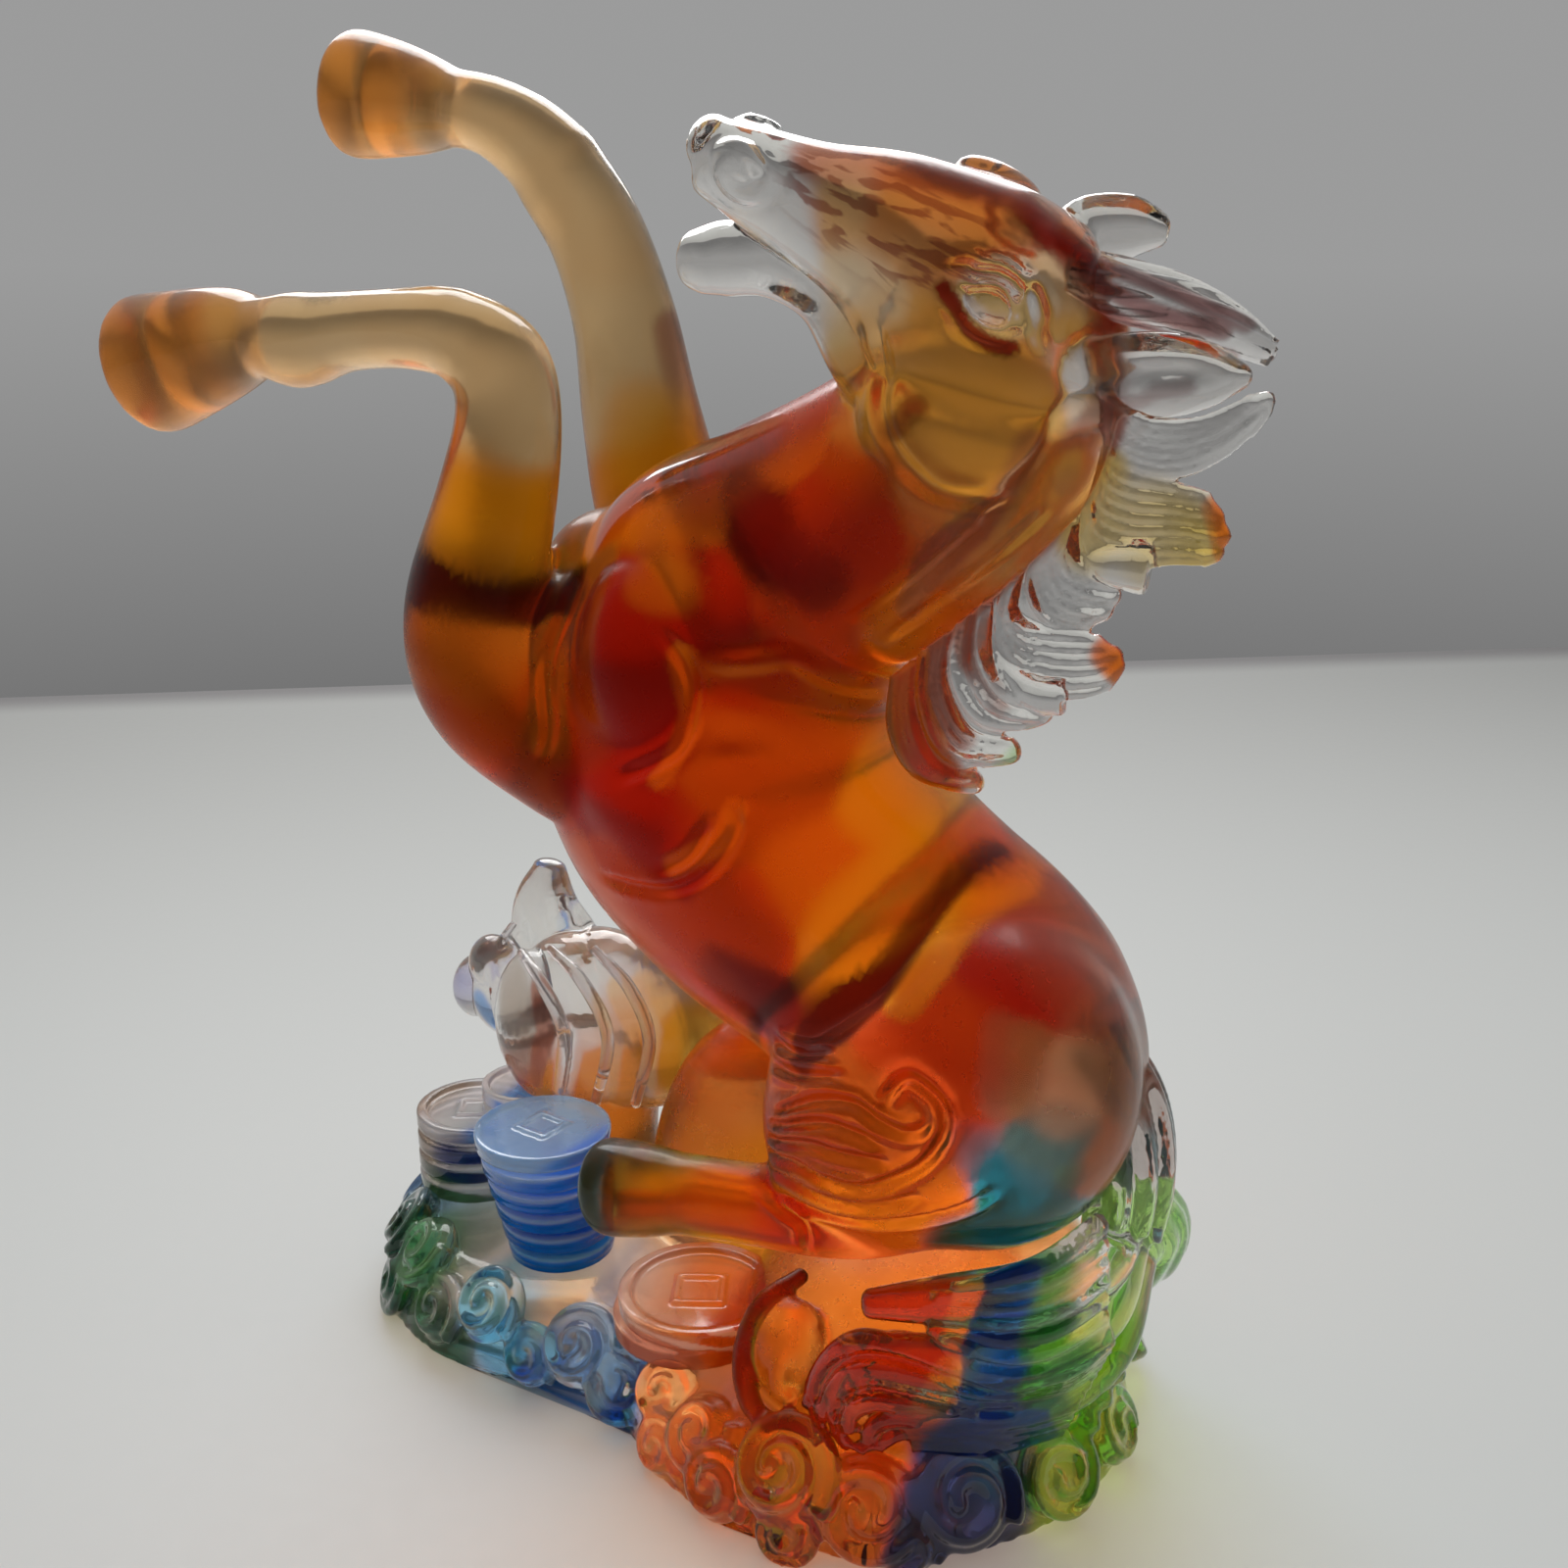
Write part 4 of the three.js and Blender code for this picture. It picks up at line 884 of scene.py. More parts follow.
# %% Mane
MANE_COUNTS = (6, 8, 7, 6, 3, 4, 4)
MANE_Y, MANE_BOW = -6.6, 2.4
TIP_Y, TIP_RADIUS = -7.8, 0.8
MANE_GUIDES = lines("""
    47.2 124.1, 51 120.5, 56.6 120.1, 62.4 123;
    46.9 119.9, 49.3 116.4, 54.6 115.5, 59.1 117.5, 62.9 121.5;
    47 117.7, 49.9 115, 54.3 114.2, 58.7 113.3;
    45.9 112, 47 107.8, 50.4 106.6, 55.2 107.4, 60.1 107.1;
    44.8 110.5, 45.4 106.9, 47.7 105.4, 50.1 104.9;
    40.9 107.2, 41.3 103.5, 43.7 100.5, 47.6 99.9;
    39.3 105.5, 39 101.1, 41.9 99.3, 46.6 99, 49.1 98.4;
    37 103.1, 37.5 98.1, 40.2 94.1, 45.1 93.2, 48.9 94.1, 50.7 96.2;
    36.2 102.3, 36.4 97, 39.2 92.6, 44.1 91.5;
    33.6 100, 33.7 94.2, 36.7 89.8, 42.3 89.2;
    31.7 98.4, 31.9 92.4, 35 87.7, 40.7 87.3;
    29.2 96.5, 29.7 90.4, 32.8 85.2, 38.4 84.7;
    27.8 94.7, 28.4 88.8, 31 83.9, 36.9 82.9;
    25.5 92.7, 26.1 87.4, 29 82.8, 34.1 81.1""")
MANE_LOCKS = list(zip(MANE_GUIDES[::2], MANE_GUIDES[1::2], MANE_COUNTS))
MANE_ZONES = zones("""
    clear 6 1: 56 -8 119; clear 5 1: 50 -8 110; yellow 3 4: 47 -8 114, 47 -8 109;
    yellow 4 3: 53 -8 110.5; orange 1.1 8: 58.6 -8 112.6, 60.6 -8 108.4; clear 5 1: 46 -8 103;
    clear 5 1: 43 -8 97; orange 1.3 8: 49 -8 98, 51 -8 96.4; clear 5 1: 40 -8 91;
    clear 3.5 1: 37 -8 86;
    brown 1.4 4: 48 -8 121, 45.5 -8 113.3, 42.5 -8 109.3, 39 -8 106, 35 -8 101.9, 31 -8 99,
    25 -8 94.6; brown 0.9 4: 34.5 -8 100.5, 35 -8 95, 38 -8 91;
    brown 1 4: 30.4 -8 97, 30.8 -8 91.5, 34 -8 86.5; rust 2 6: 27 -8 93.5, 28 -8 88, 31 -8 83.4;
    lime 1.1 1: 42 -8 88, 37 -8 82.5""")


def even(path, count=36):
    """A smooth line through given marks, at even steps."""
    rows = spline(path, 12)
    return resample(rows, np.linspace(0, lengths(rows)[-1], count))


def comb(top, bottom, count, swell=0.62, least=0.7, most=9.0):
    """Strands laid side by side between two guide lines, thinner towards the tip."""
    top, bottom = even(top), even(bottom)
    gap = np.linalg.norm(top - bottom, axis=1)
    taper = 1 - 0.45 * np.linspace(0, 1, len(top)) ** 3
    thick = np.clip(swell * gap / (count - 1), least, most) * taper
    for k in range(count):
        w = k / (count - 1)
        path = (1 - w) * top + w * bottom
        stop = len(path) - round(4 * (2 * w - 1) ** 2) - k % 2
        yield np.hstack([path, thick[:, None]])[:stop]


def mane_strands():
    """The strands of every lock, a cord along each row of tips, and a strand between locks."""
    paths = []
    for top, bottom, count in MANE_LOCKS:
        tips = []
        for strand in comb(top, bottom, count):
            tips.append((strand[-1, 0], TIP_Y, strand[-1, 1], TIP_RADIUS))
            x, z, thick = strand.T
            share = np.linspace(0, 1, len(strand))
            bow = MANE_Y - MANE_BOW * np.sin(math.pi * (share * 0.8))
            for layer in (-1, 1):
                paths.append(np.stack([x, bow + layer * (0.9 - 0.5 * share), z, thick], axis=1))
        paths.append(spline(tips, 4))
    for (_, upper, _), (lower, _, _) in zip(MANE_LOCKS[1:], MANE_LOCKS[2:]):
        x, z, thick = list(comb(upper, lower, 3, swell=0.8, least=1.0))[1][:30].T
        bow = MANE_Y - 2 * np.sin(math.pi * np.linspace(0, 0.66, len(x)))
        paths.append(np.stack([x, bow, z, thick], axis=1))
    return cords("mane_strands", paths)


mane = fuse("mane", [mane_strands()], voxel=0.28, soften=3)
thin(mane, most=180000)
paint(mane, MANE_ZONES, wisp=0.3)
hair_glass = glass("hair_glass", streak=0.3, grain=140.0, sheen=1.0)
dress(mane, hair_glass, "glass_clear", *numbered("mane_lock", 7))

# %% [markdown]
# The forelock is a single lock: a core with strands laid round it, some ending sooner than
# others. The same function also makes two locks of the tail.

# %% Forelock
FORELOCK = points("""
    -2 0 10.5 1.8 3, -7 0 11.4 2.4 4, -12.5 -0.5 12.4 2.4 4, -18 -1 12.8 2 3.4,
    -23.5 -1.2 12.6 1.1 2""")
HAIR_LINES = lines("""
    -3 3 12, -10 3.4 12.6, -18 2 13.6;
    -4 1 13, -12 1 14.6, -20 0 14.4;
    -5 4 10, -12 3.6 10.6, -20 2 11.4""")


def slimmer(stations, share):
    """Stations with their half depth and half width cut to a share."""
    return [(x, y, z, share * deep, share * wide) for x, y, z, deep, wide in stations]


def lock(stations, strands, across=(0, 1, 0), spread=0.8, cord=0.3, place=None, wave=0.0):
    """The forms of one lock: a core and the strands round it."""
    rows = spline(stations, 10)
    path, tangent, side, normal = rail(rows, across)
    share = np.linspace(0, 1, len(rows))
    deep, wide = rows[:, 3:5].T * spread
    thick = cord * np.minimum(rows[:, 3], rows[:, 4]) + 0.12
    paths = []
    for k in range(strands):
        angle = 2 * math.pi * k / strands + wave * np.sin(2 * math.pi * share + k)
        places = path + (deep * np.cos(angle))[:, None] * normal
        places = places + (wide * np.sin(angle))[:, None] * side
        stop = len(rows) - (k * 5 % 7) // 2
        paths.append(np.hstack([places, thick[:, None]])[:stop])
    core = loft("core_form", slimmer(stations, 0.72), across, place=place, sides=20)
    return [core, cords("strand_forms", paths, place)]


forelock_forms = lock(FORELOCK, 18, place=HEAD, wave=0.3)
forelock = fuse("forelock_hair", forelock_forms, voxel=0.26, soften=2)
thin(forelock, most=60000)
FORELOCK_ZONES = zones("clear 6 1: -6 0 11, -22 -1 12.6; clear 3 2: -22 -1 12.6")
FORELOCK_ZONES += [("maroon", path, 0.8, 20) for path in HAIR_LINES]
paint(forelock, face_zones(FORELOCK_ZONES), deep=40)
dress(forelock, hair_glass, "glass_red", "forelock")

# %% [markdown]
# The tail leaves the rump as a thick clear dock and then sweeps round the end of the base
# in ribbed locks, which run from green through blue and yellow into orange curls. The
# ribs are combed between six guide lines, and creases are carved down the middle bands.

# %% Tail
DOCK = points("43 3 24 5 5, 49 2.5 17.5 5.4 5.6, 51.5 1.5 10 5 6.4, 51.5 0 2.5 4.4 6.6")
TAIL_CORES = lines("""
    51 -1 8 4 3, 51.5 -6 2.5 4.4 3.4, 46.5 -14.5 1.5 4 3.2, 39 -22 2 3.2 2.8, 32.5 -25.5 1.4 2 1.8;
    52.5 -1 3.5 4 3, 51.5 -6.5 -4 4.6 3.6, 46.5 -15 -6.2 4.2 3.4, 38.5 -22.5 -5.6 3.6 3,
    31 -26.5 -4.6 2 2;
    53 1 -1 3.6 3, 51.5 -3.5 -10.5 4.6 3.4, 46.5 -13 -14 4.2 3.2, 39.5 -20.5 -13.8 3.4 2.8,
    33 -24.5 -12.4 1.8 1.8""")
FAR_LOCK = points("52 3 6 3.6 3, 53 9 -1 4.4 3.4, 50.5 14 -9 4.2 3.2, 46 19 -14 2.8 2.4")
TAIL_GUIDES = lines("""
    52 -8 35, 49 -15.5 33.5, 45 -20 32.5, 41.6 -22.8 32, 38.5 -24 31.5;
    53.3 -9.6 25, 49.8 -16 23.6, 45.4 -20.6 23.8, 41.5 -23.4 26, 38.4 -24.8 27.4, 36.6 -25.4 26.4;
    54.3 -9.2 21.9, 51.3 -14.5 19.8, 46.5 -19.6 20, 42.5 -22.6 22.2, 36.8 -25.2 24.3,
    31.6 -26.4 24.3, 27.7 -27 19.8, 26.4 -27.6 14, 29.3 -29 10.4;
    52.5 -9 17, 49.7 -13.6 16.4, 45.7 -18.6 17.4, 42.5 -22.5 19.4, 37.7 -26 21.8, 33.3 -27.8 21.8,
    29.6 -28 18, 29 -28.4 13.6, 32 -29.2 11;
    51.4 -11.4 13.8, 47.6 -16.4 13.7, 43.4 -20.6 14.6, 38.8 -24.6 16.8, 35.2 -27.6 18.6,
    32.2 -28.4 16.4, 32.4 -28.8 13.4, 35.2 -28.6 13.2;
    50 -11.5 10, 45.8 -17.4 10.4, 42.6 -21.7 11.9, 38.4 -25.4 13.1, 35.4 -27.4 12""")
TAIL_FACE = (0.6, -0.6, 0.5)
BAND_COUNTS = (6, 5, 5, 4, 4)
TAIL_ZONES = zones("""
    smoke 6 1: 50 2 42; clear 3.4 6: 54 -4 34, 53 -8 29; clear 4 3: 55 -2 24; rose 3.4 1: 50 -4 37;
    green 1.8 6: 49.8 -14.2 31, 49.4 -15.8 26; green 2 6: 52 -13 21.5, 49.5 -15.5 18.5;
    lime 2 8: 54.5 -6 20, 52.5 -10 14; cobalt 1.9 6: 46.4 -18 31, 45.6 -20 25;
    cobalt 2 6: 45.6 -19.6 21.5, 45 -19.6 17; cobalt 2.4 5: 47 -16 13, 42 -21 11;
    yellow 0.9 10: 43.2 -21.8 31, 42 -23 26; yellow 1.1 10: 41.4 -23.2 22.5, 39.8 -24.4 18.4;
    tawny 2.6 4: 39 -25 29; spice 3.6 4: 37 -25 24, 29 -27 20, 28 -28 13; tawny 2.2 4: 33 -27 17;
    spice 3 2: 34 -27 13; lime 8 1: 51 14 20""")

tail_paths = []
for top, bottom, count in zip(TAIL_GUIDES, TAIL_GUIDES[1:], BAND_COUNTS):
    tail_paths += comb(top, bottom, count, least=0.8, most=1.3)
tail_forms = lock(lifted(DOCK), 9) + lock(lifted(FAR_LOCK), 10, TAIL_FACE, spread=0.72, cord=0.42)
tail_forms += [loft("tail_core", slimmer(lifted(core), 0.8), TAIL_FACE) for core in TAIL_CORES]
tail_forms.append(cords("tail_strands", tail_paths))
tail = fuse("tail", tail_forms, voxel=0.32, soften=3)
middles = [(even(a) + even(b)) / 2 for a, b in zip(TAIL_GUIDES[1:], TAIL_GUIDES[2:5])]
carve(tail, [middle[8:-3:4] for middle in middles], width=0.5, depth=0.5, lip=0.4)
thin(tail, most=150000)
paint(tail, TAIL_ZONES)
tail_glass = glass("tail_glass", streak=0.3, grain=140.0, sheen=0.15, clarity=0.93)
dress(tail, tail_glass, "glass_green", "tail_dock", *numbered("tail_lock", 4))

# %% [markdown]
# The base is a bank of clouds. Each cloud head is a low dome with a cord wound over it in
# a spiral, as clouds are drawn on old lacquer and porcelain. The heads are listed by place,
# radius, bearing, lean and hand of the spiral, and one function builds them all.

# %% Base of clouds
REAR_X = 21.5
CLOUDS = points("""
    -22 -23.5 8.6 4.8 264 42 1, -7.5 -24 8 5 276 40 1, -1.5 -24.5 5 4.4 285 30 -1,
    -14.5 -25 5 4 268 25 1, -37 -18.5 9 5 232 42 -1, -30.5 -23.5 5.4 4.4 250 30 1,
    -45 -13 8 5 210 40 1, -41 -20.5 4 4 230 18 -1, -50.5 -4 6 5 190 28 -1, -49 6 8 4.8 170 40 1,
    6 -25.5 7.4 4 270 40 1, 13.5 -29 7 4.4 258 40 -1, 8 -29 3.4 3.8 255 20 1,
    25.5 -31 8.4 5.8 272 42 1, 17.5 -32 4.2 4.4 262 22 1, 34.5 -29 6 5.6 296 32 -1,
    27 -33.4 3 3.6 276 14 -1, 43 -23 6.4 5.8 314 32 1, 39 -28.6 3 3.8 304 14 1,
    50 -13.4 5.6 4.8 332 28 -1, 52.5 -2 5 4.4 0 25 1, -40 18 7 5 130 35 1, -28 24 6 5 100 30 -1,
    -14 23.5 7 5 80 35 1, -2 22 7 5 90 35 -1, 10 26.5 7 5 108 35 1, 24 28.5 6 5.2 88 30 -1,
    37 24.5 7 5 58 35 1, 47 16 6 5 32 30 -1""")
COMMA = lines("""
    20.5 -18 24 1, 18.3 -23.8 22.3 1.4, 17.3 -26.2 16.5 1.5, 20 -28.6 12.5 1.3,
    24.5 -28.6 11.8 0.8;
    24.2 -22 21.5 0.8, 22.6 -26 19 1.3, 22.4 -27.2 15.5 1.2, 24.5 -26.8 14 0.8""")


def slab(x, y, radius, height=10, edge=5):
    """A round slab with a soft upper edge, as a loft standing on the table."""
    outline = [(-2, 0.4), (1.5, 0), (height - edge, -0.4 * edge),
               (height - 0.25 * edge, -0.8 * edge), (height, -1.3 * edge)]
    stations = [(x, y, z, radius + step, radius + step) for z, step in outline]
    return loft("slab_form", stations, bulge=(0, 0.02), sides=72)


def mound_form():
    """The dome under the haunches."""
    stations = []
    for z in np.linspace(4, 26.6, 9):
        share = math.sqrt(1 - (max(z - 10, 0) / 17) ** 2)
        stations.append((REAR_X + 6, 1, z, 22 * share, 27 * share))
    return loft("mound_form", stations, bulge=(0, 0.1), sides=64, rings=4)


def cloud(at, radius, bearing, lean, hand, turns=1.7):
    """The dome of a cloud head and the spiral wound over it, facing outward from the base."""
    b, e = math.radians(bearing), math.radians(lean)
    out = np.array([math.cos(b) * math.cos(e), math.sin(b) * math.cos(e), math.sin(e)])
    side = np.array([-math.sin(b), math.cos(b), 0])
    rise = np.cross(out, side)
    place = np.eye(4)
    place[:3] = np.stack([side, rise, out, np.array(at) * MM], axis=1)
    size = (radius, radius, 0.42 * radius)
    dome = ball("dome_form", (0, 0, 0), size, place=Matrix(place.tolist()))
    t = np.linspace(0, 1, 48)
    reach = radius * (1 - 0.8 * t)
    angle = hand * 2 * math.pi * turns * t - hand * 0.6
    lift = 0.32 * radius * (1 - (reach / radius) ** 2) + 0.12 * radius
    path = np.array(at) + np.outer(reach * np.cos(angle), side)
    path = path + np.outer(reach * np.sin(angle), rise) + np.outer(lift, out)
    return dome, np.hstack([path, (radius * (0.25 - 0.09 * t))[:, None]])


def base_forms():
    """Three slabs, the mound, a spur under the belly, the clouds and a string of beads."""
    forms = [slab(-26.5, 0, 25.6), slab(REAR_X, -1.5, 31.5), slab(-3, -0.5, 22.5), mound_form(),
             ball("spur_form", (-2.5, 9, 10), (15.5, 12.5, 30))]
    paths = []
    for x, y, z, radius, bearing, lean, hand in CLOUDS:
        dome, spiral = cloud((x, y, z), radius, bearing, lean, hand)
        forms.append(dome)
        paths.append(spiral)
    forms.append(cords("cloud_cords", paths + [spline(path, 8) for path in COMMA]))
    forms.append(ball("comma_form", (21.5, -23, 17.5), (4.4, 4.4, 6)))
    for k in range(10):
        bead = (52.6 - 0.3 * k + 0.8 * (k % 2), -2.5 - 1.1 * k, 14.5 - 1.05 * k)
        forms.append(ball("bead_form", bead, (1.4, 1.4, 1.3)))
    return forms


def flat_foot(piece, height):
    """Cuts a piece off level at a height and closes the cut."""
    choose(piece)
    bpy.ops.object.mode_set(mode="EDIT")
    bpy.ops.mesh.select_all(action="SELECT")
    bpy.ops.mesh.bisect(plane_co=(0, 0, height * MM), plane_no=(0, 0, 1), use_fill=True,
                        clear_inner=True)
    bpy.ops.object.mode_set(mode="OBJECT")


base = fuse("base_clouds", base_forms(), voxel=0.4, soften=4)
flat_foot(base, height=0.05)
thin(base, most=190000)

# %% [markdown]
# The clouds run from green and blue at the front to orange at the rear, and into lime and
# navy under the tail. The far side is kept pale, as it is seen through the near one.

# %% Colour the base
# Under the thigh, the maroon line is painted shade where the thigh meets the mound, and the rust
# band there is orange glass deepened by painted shade.
BASE_ZONES = zones("""
    forest 5 3: -46 -12 8, -44 -14 5; green 4 3: -37 -19 9; forest 4 3: -31 -24 3;
    leaf 4 2: -33 -12 11; cyan 4.6 10: -22 -24 9; lime 3 1: -15 -20 11;
    frost 4 4: -18 -17 11, -5 -18 11; blue 3 3: -13 -26 3; sky 4 5: -10 -25 7, -5 -25 7;
    blue 2.4 2: -2 -25 2.5; peach 4 2: 8 -26 8; tawny 4 4: 13 -30 5; rust 6 4: 19 -21 15;
    tawny 4 4: 25 -31 9; spice 4 4: 18 -32 3, 32 -30 6; navy 4.4 6: 43 -25 6;
    clear 4.4 8: 45 -16 20, 50 -6 16; rust 5.5 8: 20 -16 25, 36 -18 24;
    maroon 1.4 20: 20 -19 26, 28 -20 27, 35 -20 27; cobalt 3 4: 45 -21 10; forest 3 2: 50 -12 6;
    lime 2.4 10: 53 -4 12, 50 -13 5; lime 8 1: 49 8 8; honey 8 6: -4 0 38, -4 9 38;
    amber 8 5: -6 0 24, -6 9 20; gold 8 3: 4 0 22; navy 4 2: -50 0 8; sky 10 2: -44 16 6, -30 22 8;
    straw 10 1: -8 23 12; honey 12 2: 14 27 10; lime 10 1: 38 24 8; rust 9 1: 20 -8 25;
    honey 12 1: 24 10 22; frost 10 1: -26 0 10""")
paint(base, BASE_ZONES, deep=45, wisp=1.4)
base_glass = glass("base_glass", streak=0.45, grain=110.0, ripple=0.05, sheen=0.15, clarity=0.92)
dress(base, base_glass, "glass_orange", "base_plinth", "cloud_mound", *numbered("cloud_scroll", 8),
      *numbered("cloud_curl", 2))

# %% [markdown]
# Cash coins in stacks. One coin is turned from a cylinder: the upper face is inset and
# sunk to leave a rim. The hole is not cut; a square frame of four bars stands where it
# would be, on the top coin of each stack.
# Real coins carry writing there; these are left bare. Each stack is that coin, copied.

# %% Coins
COIN_RADIUS, COIN_DEPTH = 10, 2.2
COIN_RISE = 1.35
RIM_WIDTH, RIM_SLOPE, RIM_DEPTH = 1.5, 0.3, 0.6
CORE_INSET = 0.7


def coin_form():
    """One coin with a raised rim."""
    bpy.ops.object.select_all(action="DESELECT")
    bpy.ops.mesh.primitive_cylinder_add(vertices=72, radius=COIN_RADIUS * MM,
                                        depth=COIN_DEPTH * MM)
    coin = bpy.context.object
    coin.name = "coin_form"
    for face in coin.data.polygons:
        face.select = face.normal.z > 0.9
    bpy.ops.object.mode_set(mode="EDIT")
    bpy.ops.mesh.select_mode(type="FACE")
    bpy.ops.mesh.inset(thickness=RIM_WIDTH * MM, depth=0)
    bpy.ops.mesh.inset(thickness=RIM_SLOPE * MM, depth=-RIM_DEPTH * MM)
    bpy.ops.mesh.select_all(action="SELECT")
    bpy.ops.mesh.normals_make_consistent(inside=False)
    bpy.ops.object.mode_set(mode="OBJECT")
    return coin


def bars(half, width=0.35):
    """Four low bars in a square, round the place of a coin's hole, which is not cut."""
    made = []
    for k in range(4):
        bpy.ops.object.select_all(action="DESELECT")
        bpy.ops.mesh.primitive_cube_add(size=2 * MM)
        bar = bpy.context.object
        turn = Matrix.Rotation(k * math.pi / 2, 4, "Z")
        size = Vector((width, half + width, 0.4))
        bar.data.transform(turn @ Matrix.LocRotScale(Vector((half, 0, 0.85)) * MM, None, size))
        made.append(bar)
    return made


def stacked(name, coins, square):
    """Coins listed by x, y, z of the foot, radius and turn, fused by a core into one stack."""
    master = coin_form()
    forms = []
    for x, y, z, radius, turn in coins:
        copy = linked("coin_copy", master.data.copy())
        size = Vector((radius / COIN_RADIUS, radius / COIN_RADIUS, 1))
        at = Vector((x, y, z + COIN_RISE)) * MM
        copy.data.transform(Matrix.LocRotScale(at, turned((0, 0, turn)), size))
        inner = radius - CORE_INSET
        core = [(x, y, z - 0.4, inner, inner), (x, y, z + 1.5, inner, inner)]
        forms += [copy, loft("coin_core", core, bulge=(0, 0), sides=48)]
    # The square frame stands on the coin that is listed last.
    top = Matrix.LocRotScale(Vector((x, y, z + 1.0)) * MM, turned((0, 0, turn)), Vector((1, 1, 1)))
    for bar in bars(square):
        bar.data.transform(top)
        forms.append(bar)
    bpy.data.objects.remove(master)
    piece = fuse(name, forms, voxel=0.25, soften=2)
    thin(piece, most=90000)
    return piece


def edges(coins, charge, width):
    """Zones that paint a pale highlight along the upper rim of every coin in a stack."""
    turn = np.linspace(0, 2 * math.pi, 25)
    ring = np.stack([np.cos(turn), np.sin(turn), 0 * turn], axis=1)
    return [(charge, r * ring + (x, y, z + 2.4), width, 12) for x, y, z, r, _ in coins]


STACK = [(-21.5 - 0.5 * i, -9.5, 10.2 + 3 * i, 7.6 + 0.4 * i, 20 + 13 * i) for i in range(6)]
PILE = points("-37 3 19.6 6.2 5, -37 3 22.6 6.2 40")
PILE += [(-42.9, -1, 10.2 + 3 * i, 8.4, 11 * i) for i in range(4)]
LARGE = points("3.5 -15.5 10.2 10 28, 4.4 -15.5 13.2 10 28")
STACK_ZONES = zones("azure 9 1: -22 -9.5 15; sky 4.6 8: -24 -9.5 28.2")
PILE_ZONES = zones("""
    azure 4 1: -38 2 21; navy 3 2: -40 -6 17; grey 5 1: -47 -3 18; leaf 4 2: -43 -3 11;
    frost 4 6: -43 -1 22.6""")
# On the large coins, the brown at the lower front edge is painted shade.
LARGE_ZONES = zones("""
    peach 5 3: 4 -15.5 17; rose 4 2: 0 -18 17; spice 4 1: 10 -12 14; brown 3 2: 4 -24 11""")

# The pale rims that edges() lays on each coin are painted highlights.
coin_glass = glass("coin_glass", streak=0.4, grain=200.0, sheen=0.3, clarity=0.62)
stack = stacked("coin_stack", STACK, square=2.3)
paint(stack, STACK_ZONES + edges(STACK, "sky", 0.5), wisp=0.3)
dress(stack, coin_glass, "glass_blue", *numbered("stack_coin", 6))
pile = stacked("coin_pile", PILE, square=2.3)
paint(pile, PILE_ZONES + edges(PILE, "frost", 0.4))
dress(pile, coin_glass, "glass_clear", *numbered("pile_coin", 4))
large = stacked("large_coins", LARGE, square=2.8)
paint(large, LARGE_ZONES + edges(LARGE, "rose", 0.4), wisp=1.4)
dress(large, coin_glass, "glass_orange", *numbered("large_coin", 2))

# %% [markdown]
# The ingot lies tipped behind the coins: an old boat-shaped bar. Its round middle swells
# out of nested shells, and its two ends turn up into a wing and a knob. The shells are
# ellipsoids set one behind the other, so the melt leaves a curved step at each rim.

# %% Ingot
SHELLS = points("""
    -34 4.5 33.5 7.5 6.5 11.5 0 -10 0, -30.5 8 34 10.5 7.6 13 0 -10 0,
    -27.5 10.5 34 12.4 8.2 13.4 0 -10 0, -24 13 33.6 13.4 8.6 13 0 -10 0, -43 9 36 7 6.5 7.5 0 0 0,
    -48 7 36 4 4 5 0 12 0, -44 5.5 41 3.6 3.4 4 0 0 0""")
INGOT_WING = points("-36 11 40 9 5, -38.5 11.5 48 6 3.6, -38.2 12 54.4 2.6 2")
INGOT_FOOT = points("-31 12 9 10.5 9.5, -31 12 16 9 8, -30.5 12 28 10 8.5")
RIMS = lines("""
    -36 2 45.5 0.7, -30 -1 43 1, -27 -0.5 36 1, -29 0.5 26 0.8;
    -31 2 47 0.7, -24.6 1 43.5 1, -21 1.4 36 1, -24 2 25 0.8;
    -25 4 47.4 0.7, -18.6 3.4 43 1, -16 4 35.6 1, -19 4.4 25 0.8;
    -41 7 47 0.6, -42.4 4 43 0.7, -41 1.8 38 0.7, -39.4 1.4 31 0.5""")
INGOT_ZONES = zones("""
    clear 7 1: -44 8 38, -38 10 50; lilac 2.6 2: -49 7 36; azure 1.5 8: -45 3 35, -42 1 30;
    grey 2.4 3: -37 0 43, -35 -1 37; smoke 3 3: -36 -1 31;
    brown 0.7 12: -33 -1 44, -30.5 -1.5 36, -32 -1 28; clear 3 2: -28 0 44, -25 0 38;
    straw 3.6 2: -20 4 38; amber 5 8: -31 -1 24; honey 4 3: -22 4 28; olive 4.5 4: -14 6 32;
    amber 4 2: -20 8 20; smoke 4 1: -38 10 53""")
INGOT_ZONES += [("frost", [mark[:3] for mark in rim], 0.9, 12) for rim in RIMS]

ingot_forms = balls("shell_form", SHELLS)
ingot_forms += [loft("wing_form", INGOT_WING), loft("foot_form", INGOT_FOOT)]
ingot_forms.append(cords("rim_forms", [spline(rim, 8) for rim in RIMS]))
ingot = fuse("ingot_bar", ingot_forms, voxel=0.32, soften=3)
thin(ingot, most=120000)
paint(ingot, INGOT_ZONES)
ingot_glass = glass("ingot_glass", streak=0.2, grain=120.0, ripple=0.05, sheen=0.5, clarity=0.95)
dress(ingot, ingot_glass, "glass_clear", "ingot")

# %% [markdown]
# The stage is a plain pale table with a grey wall far behind. Shade is painted on the table:
# it darkens towards its far edge and ends in a dark strip of painted shade.

# %% Table
# The far colour and the dark edge strip are painted shade on the pale table.
FLOOR_NEAR, FLOOR_FAR_SHADE = (0.66, 0.67, 0.65, 1), (0.36, 0.36, 0.345, 1)
FLOOR_EDGE_SHADE = (0.2, 0.19, 0.19, 1)
FLOOR_SIZE = 3.0
FLOOR_BEHIND = 0.4117
FLOOR_TURN = math.radians(38.85)


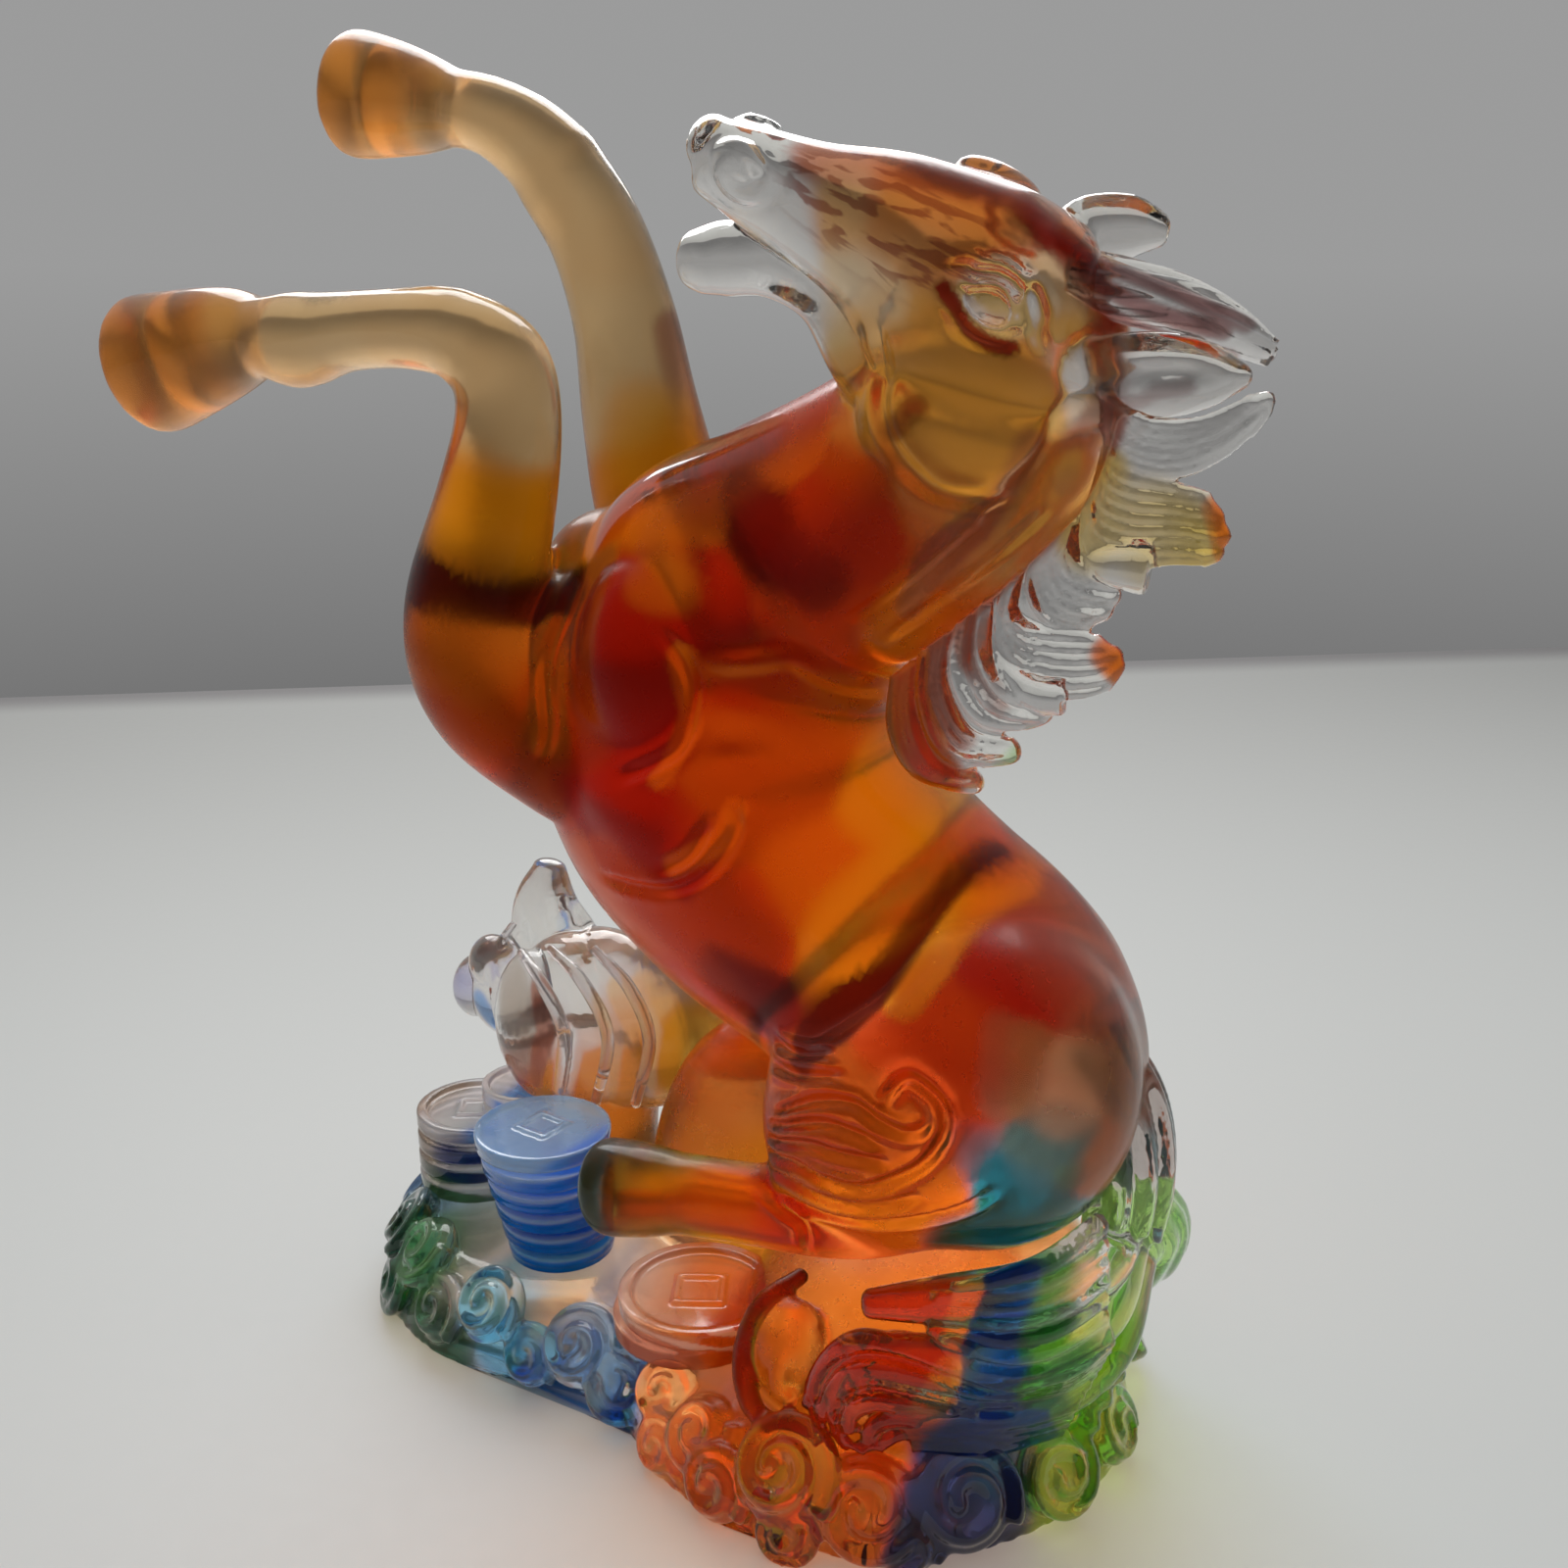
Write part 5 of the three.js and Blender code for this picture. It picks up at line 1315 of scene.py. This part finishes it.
def make_stage():
    bpy.ops.object.select_all(action="DESELECT")
    far = FLOOR_SIZE / 2
    middle = FLOOR_BEHIND - far
    at = (-middle * math.sin(FLOOR_TURN), middle * math.cos(FLOOR_TURN), 0)
    bpy.ops.mesh.primitive_plane_add(size=FLOOR_SIZE, location=at, rotation=(0, 0, FLOOR_TURN))
    floor = bpy.context.object
    floor.name = "table_top"
    material = bpy.data.materials.new("table_painted_shade")
    material.use_nodes = True
    start = Wire(material.node_tree)
    shader = material.node_tree.nodes["Principled BSDF"]
    place = start.node("ShaderNodeTexCoord", output="Object")
    depth = start.node("ShaderNodeSeparateXYZ", {}, {0: place}, "Y")
    # Painted shade: darker towards the far edge, and a dark strip along the edge itself.
    away = depth.scaled(far - FLOOR_BEHIND - 0.12, far - 0.02, kind="SMOOTHSTEP")
    edge = depth.scaled(far - 0.03, far - 0.002, kind="SMOOTHSTEP")
    colour = edge.blend(away.blend(FLOOR_NEAR, FLOOR_FAR_SHADE), FLOOR_EDGE_SHADE)
    start.feed(shader.inputs["Base Color"], colour)
    start.feed(shader.inputs["Roughness"], start.noise(place, 400.0, 3.0) * 0.1 + 0.45)
    floor.data.materials.append(material)


make_stage()
print("table: edge", round(FLOOR_BEHIND, 3), "m behind the horse")

# %% [markdown]
# The wall is only a colour of the world that camera, gloss and glass rays see, so it throws
# no light of its own. Gloss sees a dark room on the camera's side. One large window lights
# the glass from behind, and the camera looks down on it from close by.

# %% Light and camera
AMBIENT = (0.42, 0.43, 0.44, 1)
ROOM_DARK = (0.09, 0.09, 0.095, 1)
WALL_LOW, WALL_MID, WALL_HIGH = 0.17, 0.33, 0.62
VIEW_TURN = math.radians(30)
VIEW_WAY = (-math.sin(VIEW_TURN), math.cos(VIEW_TURN), 0)
CAMERA_AT = (0.0995, -0.1596, 0.129)
CAMERA_TILT = math.radians(74)
CAMERA_FIELD = math.radians(52)
WINDOW_AT, WINDOW_TARGET = (-0.25, 0.35, 0.5), (0, 0, 0.08)
WINDOW_SIZE = (0.55, 0.4)
WINDOW_POWER = 3.1


def make_world():
    world = bpy.data.worlds.new("studio")
    world.use_nodes = True
    tree = world.node_tree
    start = Wire(tree)
    rays = start.node("ShaderNodeLightPath").socket.node.outputs
    kinds = ("Camera", "Transmission", "Glossy")
    camera, through, gloss = (Wire(tree, rays[f"Is {kind} Ray"]) for kind in kinds)
    seen = start.maths("MINIMUM", camera + through + gloss, 1.0)
    way = start.node("ShaderNodeTexCoord", output="Generated")
    up = start.node("ShaderNodeSeparateXYZ", {}, {0: way}, "Z")
    low = up.scaled(-0.22, 0.03, WALL_LOW, WALL_MID)
    high = up.scaled(0.2, 0.9, 0.0, WALL_HIGH - WALL_MID)
    grey = low + high
    wall = start.node("ShaderNodeCombineColor", {}, {0: grey, 1: grey, 2: grey})
    ahead = start.node("ShaderNodeVectorMath", {"operation": "DOT_PRODUCT"},
                       {0: way, 1: VIEW_WAY}, "Value")
    room = ahead.scaled(-0.35, 0.5, kind="SMOOTHSTEP").blend(ROOM_DARK, wall)
    shown = gloss.blend(wall, room)
    start.feed(tree.nodes["Background"].inputs["Color"], seen.blend(AMBIENT, shown))
    bpy.context.scene.world = world


def make_window():
    light = bpy.data.lights.new("window_light", "AREA")
    light.shape = "RECTANGLE"
    light.size, light.size_y = WINDOW_SIZE
    light.energy = WINDOW_POWER
    lamp = linked("window_light", light)
    lamp.location = WINDOW_AT
    lamp.visible_transmission = False
    way = Vector(WINDOW_TARGET) - Vector(WINDOW_AT)
    lamp.rotation_euler = way.to_track_quat("-Z", "Y").to_euler()


def make_camera():
    lens = bpy.data.cameras.new("camera")
    lens.sensor_width = 36
    lens.angle = CAMERA_FIELD
    lens.clip_start = 0.01
    camera = linked("camera", lens)
    camera.location = CAMERA_AT
    camera.rotation_euler = (CAMERA_TILT, 0, VIEW_TURN)
    bpy.context.scene.camera = camera


make_world()
make_window()
make_camera()
bpy.context.scene.view_settings.view_transform = "Standard"
print("camera at", CAMERA_AT, "and one window of", WINDOW_POWER, "watts")
